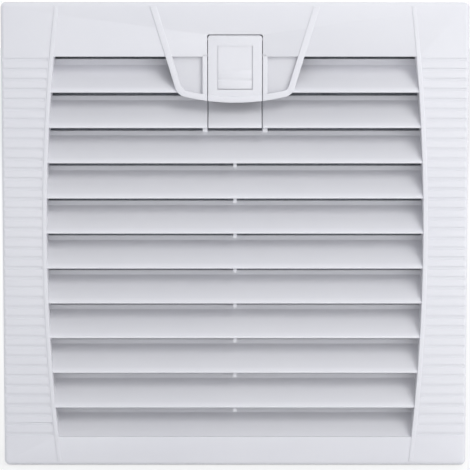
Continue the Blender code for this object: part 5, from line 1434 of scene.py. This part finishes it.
def circle(radius, centre=(0, 0), steps=96):
    return arc(centre, radius, 0, 360 - 360 / steps, steps - 1)


def flatted(radius):
    limit = math.degrees(math.asin(FLAT / radius))
    right = arc((0, 0), radius, -limit, limit, 40)
    return right + arc((0, 0), radius, 180 - limit, 180 + limit, 40)


def build_ring():
    holes = [circle(SCREW_HOLE, spot, 24) for spot in SCREW_SPOTS]
    rims = []
    for name, widened, front in (("inlet", 0.9, FAN_FRONT), ("rear", 0.1, FAN_BACK - FLANGE)):
        outlines = [flatted(RIM_RADIUS), circle(BORE + widened)] + holes
        rims.append(plate(f"{name}_flange", outlines, front, front + FLANGE, 0.5, 2))
    profile = [
        (BORE + 1.2, FAN_FRONT + 0.1), (TUBE_OUTSIDE, FAN_FRONT + 0.8), (TUBE_OUTSIDE, FAN_BACK - 0.8),
        (BORE + 0.5, FAN_BACK - 0.1), (BORE, FAN_BACK - 0.6), (BORE, FAN_FRONT + FLANGE),
        (BORE + 0.25, FAN_FRONT + 2.4), (BORE + 0.7, FAN_FRONT + 1.0),
    ]
    return joined("fan_ring", rims + [turned("fan_tube", profile, 144)])


ring = dress(build_ring(), cast_aluminium, "cast_aluminium", "housing", "fan_frame")
print("fan ring:", len(ring.data.polygons), "faces")

# %% [markdown]
# A spider of four arms carries the motor inside the ring. The arms and the hub plate are one outline,
# rounded as a casting is, and the bearing tube is turned and stands on its front.

# %% Spider
HUB_RADIUS, ARM_HALF, ARM_THICKNESS = 33.5, 4.5, 4.0


def beside_arm(angle, distance, half):
    """A point at a distance along an arm and half its width to the side of it."""
    along, across = math.cos(angle), math.sin(angle)
    return (distance * along - half * across, distance * across + half * along)


def spider_outline():
    reach = BORE - 0.4
    far = math.degrees(math.asin(ARM_HALF / reach))
    near = math.degrees(math.asin((ARM_HALF + 2.5) / HUB_RADIUS))
    roots = ((46, 4.5), (39, 4.8), (36, 5.4))
    points = []
    for middle in (45, 135, 225, 315):
        points += arc((0, 0), reach, middle - far, middle + far, 4)
        points += [beside_arm(math.radians(middle), *root) for root in roots]
        points += arc((0, 0), HUB_RADIUS, middle + near, middle + 90 - near, 14)
        points += [beside_arm(math.radians(middle + 90), x, -half) for x, half in roots[::-1]]
    return points


def build_spider():
    outlines = [spider_outline(), circle(5.7, steps=48)]
    arms = plate("arms", outlines, FAN_BACK - ARM_THICKNESS, FAN_BACK, 0.8, 3)
    profile = [(5.7, 50.7), (7.5, 50.9), (7.5, 80.2), (8.6, 81.6), (5.7, 81.6)]
    return joined("motor_spider", [arms, turned("bearing_tube", profile, 48)])


spider = dress(build_spider(), cast_aluminium, "cast_aluminium", "housing", "fan_spider")
print("spider:", len(spider.data.polygons), "faces")

# %% [markdown]
# The impeller is moulded in black plastic and pressed over the rotor's steel cup. Each of its seven
# blades is a twisted sheet: a grid is laid between the sleeve and the tip, where every point's angle,
# depth and camber follow from its distance to the axis. Solidify gives the sheet its wall.

# %% Impeller
SLEEVE_RADIUS, SLEEVE_INSIDE, TIP_RADIUS = 33.6, 31.6, 70.5
IMPELLER_FRONT, IMPELLER_BACK, FAN_BLADES = 47.9, 79.3, 7


def blade_point(share, along):
    """A point of the blade: share runs from sleeve to tip, along from the leading edge back."""
    root, height = SLEEVE_RADIUS - 1, IMPELLER_BACK - IMPELLER_FRONT
    radius = root + (TIP_RADIUS - root) * share
    sweep = 40.0 - 6.0 * share
    angle = math.radians(14.0 * share * share - sweep / 2 + sweep * along)
    depth = height * 0.88 * (1 - 0.22 * share)
    round_off = 0.05 * height * share**6 * (2 * along - 1) ** 2
    y = IMPELLER_FRONT + 0.06 * height + depth * along + 0.12 * depth * math.sin(math.pi * along)
    y += 0.05 * height * share + round_off * (0.5 - along)
    return Vector((radius * math.cos(angle), y, radius * math.sin(angle))) * MM


def build_fan_blade():
    nothing_selected()
    bpy.ops.mesh.primitive_grid_add(x_subdivisions=12, y_subdivisions=16, size=1)
    blade = named("fan_blade")
    for corner in blade.data.vertices:
        corner.co = blade_point(corner.co.x + 0.5, corner.co.y + 0.5)
    modified(blade, "SOLIDIFY", thickness=1.3 * MM, offset=0)
    return soften(weld(blade), 0.4, 2, 50)


def build_impeller():
    profile = [
        (SLEEVE_INSIDE, IMPELLER_FRONT + 0.3), (SLEEVE_INSIDE + 0.3, IMPELLER_FRONT),
        (SLEEVE_RADIUS - 0.7, IMPELLER_FRONT), (SLEEVE_RADIUS, IMPELLER_FRONT + 0.7),
        (SLEEVE_RADIUS, IMPELLER_BACK - 0.3), (SLEEVE_RADIUS - 0.3, IMPELLER_BACK),
        (SLEEVE_INSIDE, IMPELLER_BACK),
    ]
    pieces = [turned("sleeve", profile)]
    model = build_fan_blade()
    for i in range(FAN_BLADES):
        turn = (0, -2 * math.pi * i / FAN_BLADES, 0)
        pieces.append(placed(copied(model, "fan_blade"), 0, 0, 0, turn))
    bpy.data.objects.remove(model)
    return joined("fan_impeller", pieces)


impeller = dress(build_impeller(), black_plastic, "dark_plastic", "rotor", "impeller", angle=40)
print("impeller:", len(impeller.data.polygons), "faces")

# %% [markdown]
# The rest of the motor is turned: a deep-drawn steel cup as the rotor, the shaft, two ball bearings,
# the snap ring, and inside the cup the stator with a copper winding on each face. Every section gets
# its small rounding or chamfer in the profile.

# %% Rotor, shaft, bearings and windings
def ring_profile(inner, outer, front, back, rounding):
    return rounded_box((inner, outer), (front, back), rounding, 3)


CUP_PROFILE = [
    (2.8, 44.7), (28.6, 44.7), (30.2, 45.1), (31.1, 46.0), (31.3, 47.2), (31.3, 79.3), (29.7, 79.3),
    (29.7, 47.4), (28.9, 46.3), (6.0, 46.3), (6.0, 48.9), (5.8, 49.1), (2.8, 49.1),
]
SHAFT_PROFILE = [(0, 44.7), (2.2, 44.7), (2.5, 45.0), (2.5, 83.0), (2.2, 83.3), (0, 83.3)]
FINISHES = {
    # finish: material, slot
    "cup": (black_enamel, "dark_plastic"), "bright": (bright_steel, "bright_steel"),
    "spring": (spring_steel, "bright_steel"), "stack": (stator_steel, "bright_steel"),
    "copper": (winding_copper, "copper_winding"),
}
TURNED_PIECES = (
    # piece, finish, body, solid, profile, closed
    ("drawn_cup", "cup", "rotor", "rotor_cup", CUP_PROFILE, True),
    ("ground_shaft", "bright", "rotor", "motor_shaft", SHAFT_PROFILE, False),
)
RINGS = (
    # piece, finish, body, solid, inner and outer radius, front, back, rounding
    ("snap_ring", "spring", "rotor", "retaining_ring", 2.8, 3.85, 81.6, 82.4, 0.15),
    ("front_bearing", "bright", "housing", "bearing_front", 2.8, 5.4, 50.7, 55.7, 0.3),
    ("rear_bearing", "bright", "housing", "bearing_rear", 2.8, 5.4, 76.3, 81.3, 0.3),
    ("stator_stack", "stack", "housing", "motor_stator", 7.8, 28.5, 56.0, 74.0, 0.2),
    ("front_winding", "copper", "housing", "winding_front", 10.2, 26.1, 50.7, 55.7, 2.2),
    ("rear_winding", "copper", "housing", "winding_rear", 10.2, 26.1, 74.3, 79.0, 2.0),
)
TURNED_PIECES += tuple((*row[:4], ring_profile(*row[4:]), True) for row in RINGS)
for name, finish, body, solid, profile, closed in TURNED_PIECES:
    dress(turned(name, profile, closed=closed), *FINISHES[finish], body, solid)
print("turned pieces:", len(TURNED_PIECES))

# %% [markdown]
# The finger guard is welded from drawn wire: five rings on four radial wires, which end in flat eyes
# under the screw heads. The rings are tori, and the radial wires are curves with a round bevel.

# %% Finger guard
SPOKE_Y, RING_Y, WIRE = 86.4, 87.68, 1.6


def wire_along(name, points):
    places = [Vector(point) * MM for point in points]
    wire = curve_mesh(
        name, [places], False, dimensions="3D", bevel_depth=WIRE / 2 * MM, bevel_resolution=4,
        use_fill_caps=True,
    )
    return weld(wire, MERGE)


def wire_ring(name, radius):
    nothing_selected()
    bpy.ops.mesh.primitive_torus_add(
        major_radius=radius * MM, minor_radius=WIRE / 2 * MM, major_segments=128, minor_segments=12,
        location=(0, RING_Y * MM, 0), rotation=LYING,
    )
    ring = named(name)
    fix_place()
    return ring


def build_guard():
    pieces = [wire_ring(f"guard_ring_{i + 1}", 16 + 13.625 * i) for i in range(5)]
    for x, z in SCREW_SPOTS:
        along = Vector((x, 0, z)).normalized()
        points = [along * distance + Vector((0, SPOKE_Y, 0)) for distance in (14.4, 30, 50, 70, 78)]
        pieces.append(wire_along("guard_wire", points))
        eye = [circle(3.9, (x, z), 32), circle(SCREW_HOLE, (x, z), 24)]
        pieces.append(plate("guard_eye", eye, SPOKE_Y - 0.65, SPOKE_Y + 0.65, 0.2))
    return joined("wire_guard", pieces)


guard = dress(build_guard(), black_wire, "painted_steel", "housing", "finger_guard", angle=50)
print("finger guard:", len(guard.data.polygons), "faces")

# %% [markdown]
# Screws are turned in one profile, shank and pan head, and the cross recess is cut by two crossed
# blocks. Pins are turned too, with a chamfer at both ends.

# %% Screws and pins
def build_screw(name, x, z, start, seat, radius, head_radius, head_height):
    top = seat + head_height
    head = ((1, 0.42), (0.93, 0.7), (0.78, 0.92), (0.55, 1))
    profile = [
        (0, start), (radius - 0.5, start), (radius, start + 0.5), (radius, seat),
        (head_radius - 0.2, seat), (head_radius, seat + 0.2),
    ]
    profile += [(wide * head_radius, seat + high * head_height) for wide, high in head] + [(0, top)]
    reach, half = 0.5 * head_radius, 0.13 * head_radius
    long, short, depth = (-reach, reach), (-half, half), (top - 0.55 * head_height, top + 1)
    screw = turned(name, profile, 48, closed=False)
    for across, upwards in ((long, short), (short, long)):
        cut_by(screw, block("recess", across, depth, upwards, 0.12, 1))
    return placed(screw, x, 0, z)


for i, (x, z) in enumerate(SCREW_SPOTS):
    screw = build_screw(f"pan_screw_{i + 1}", x, z, 22.3, 87.5, 2.0, 3.8, 2.6)
    dress(screw, bright_steel, "bright_steel", "housing", f"fan_screw_{i + 1}")
for i, (x, z) in enumerate(((-102.4, -102.4), (-70.6, -80.6))):
    screw = build_screw(f"cover_screw_{i + 1}", x, z, 47.6, 63.3, 1.5, 2.85, 1.5)
    dress(screw, bright_steel, "bright_steel", "housing", f"lid_screw_{i + 1}")


def build_pin(name, radius, half, place):
    upper = [(radius, half - 0.3), (radius - 0.25, half), (0, half)]
    profile = [(r, -y) for r, y in upper[::-1]] + upper
    return placed(turned(name, profile, 48, closed=False), *place, ONTO_X)


PINS = (
    # piece, radius, half length, place, body, solid
    ("left_hinge_pin", 1.5, 5.9, (-HINGE_X, HINGE_Y, HINGE_Z), "housing", "hinge_pin_left"),
    ("right_hinge_pin", 1.5, 5.9, (HINGE_X, HINGE_Y, HINGE_Z), "housing", "hinge_pin_right"),
    ("flap_pin", 0.8, 16.8, (0, PIVOT_Y, PIVOT_Z), "cover", "latch_pin"),
)
for name, radius, half, place, body, solid in PINS:
    dress(build_pin(name, radius, half, place), bright_steel, "bright_steel", body, solid)
print("screws and pins made")

# %% [markdown]
# The supply cable would enter the terminal box through a gland of black nylon: a body with a hexagon
# flange, and a dome nut that clamps a rubber sleeve. Both lie along X, so they are turned about the
# fan's axis first and then laid over.

# %% Cable gland
GLAND_Y, GLAND_Z, WALL_X = 47.3, -91.5, -65.5
GLAND_BORE, HEXAGON_RADIUS = 3.4, 7.5
THREAD_RADIUS, THREAD_ROOT, THREAD_PITCH = 6.0, 5.5, 1.5


def hexagon(name, front, back):
    place = (0, (front + back) / 2, 0)
    piece = rod(name, place, HEXAGON_RADIUS, back - front, LYING, 6)
    fix_place()
    return soften(piece, 0.35)


def laid_over(piece):
    return placed(piece, WALL_X, GLAND_Y, GLAND_Z, ONTO_X)


def thread_profile(start, end):
    """Outside of a coarse thread as rings, enough for the short stretch that shows."""
    points, y = [], start
    ridge = ((THREAD_RADIUS, 0), (THREAD_RADIUS, 0.35), (THREAD_ROOT, 0.6), (THREAD_ROOT, 0.85))
    while y + THREAD_PITCH <= end:
        points += [(radius, y + share * THREAD_PITCH) for radius, share in ridge]
        y += THREAD_PITCH
    return points + [(THREAD_ROOT, end)]


def bored(piece):
    outline = [(0, -6), (GLAND_BORE, -6), (GLAND_BORE, 16), (0, 16)]
    return cut_by(piece, turned("bore", outline, 48, closed=False))


def build_gland():
    outline = [(GLAND_BORE, -2.4)] + thread_profile(-2.4, 9.0) + [(GLAND_BORE, 9.0)]
    neck = turned("gland_neck", outline, 48)
    return laid_over(joined("gland_base", [neck, bored(hexagon("gland_hexagon", 0.3, 3.3))]))


def build_dome_nut():
    dome = [
        (6.35, 6.4), (6.6, 7.2), (6.55, 8.6), (6.3, 10.0), (5.7, 11.4), (5.0, 12.2), (4.2, 12.55),
        (3.6, 12.5), (GLAND_BORE, 12.2), (GLAND_BORE, 9.6), (6.3, 9.3),
    ]
    skirt = hexagon("nut_hexagon", 3.6, 8.6)
    room = turned("nut_room", [(0, 2), (6.3, 2), (6.3, 12), (0, 12)], 48, closed=False)
    return laid_over(joined("dome_nut", [turned("nut_dome", dome, 48), cut_by(skirt, room)]))


dress(build_gland(), black_plastic, "dark_plastic", "housing", "gland_body")
dress(build_dome_nut(), black_plastic, "dark_plastic", "housing", "gland_nut")
block_piece = softened_copy("terminal_block", "wire_block", 0.2)
dress(block_piece, black_plastic, "dark_plastic", "housing", "terminal_block")
print("gland and terminal block made")

# %% [markdown]
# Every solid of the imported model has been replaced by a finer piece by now. If one were left, it
# would show without a finish, so any that remains gets plain steel here and is counted.

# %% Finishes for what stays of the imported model
def left_over():
    taken = {solid for piece in bpy.data.objects for solid in piece.get("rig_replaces", [])}
    return [node for name, node in frame["nodes"].items() if name not in taken]


for node in left_over():
    node.data.materials.clear()
    node.data.materials.append(bright_steel)
print("solids that keep their own shape:", len(left_over()))
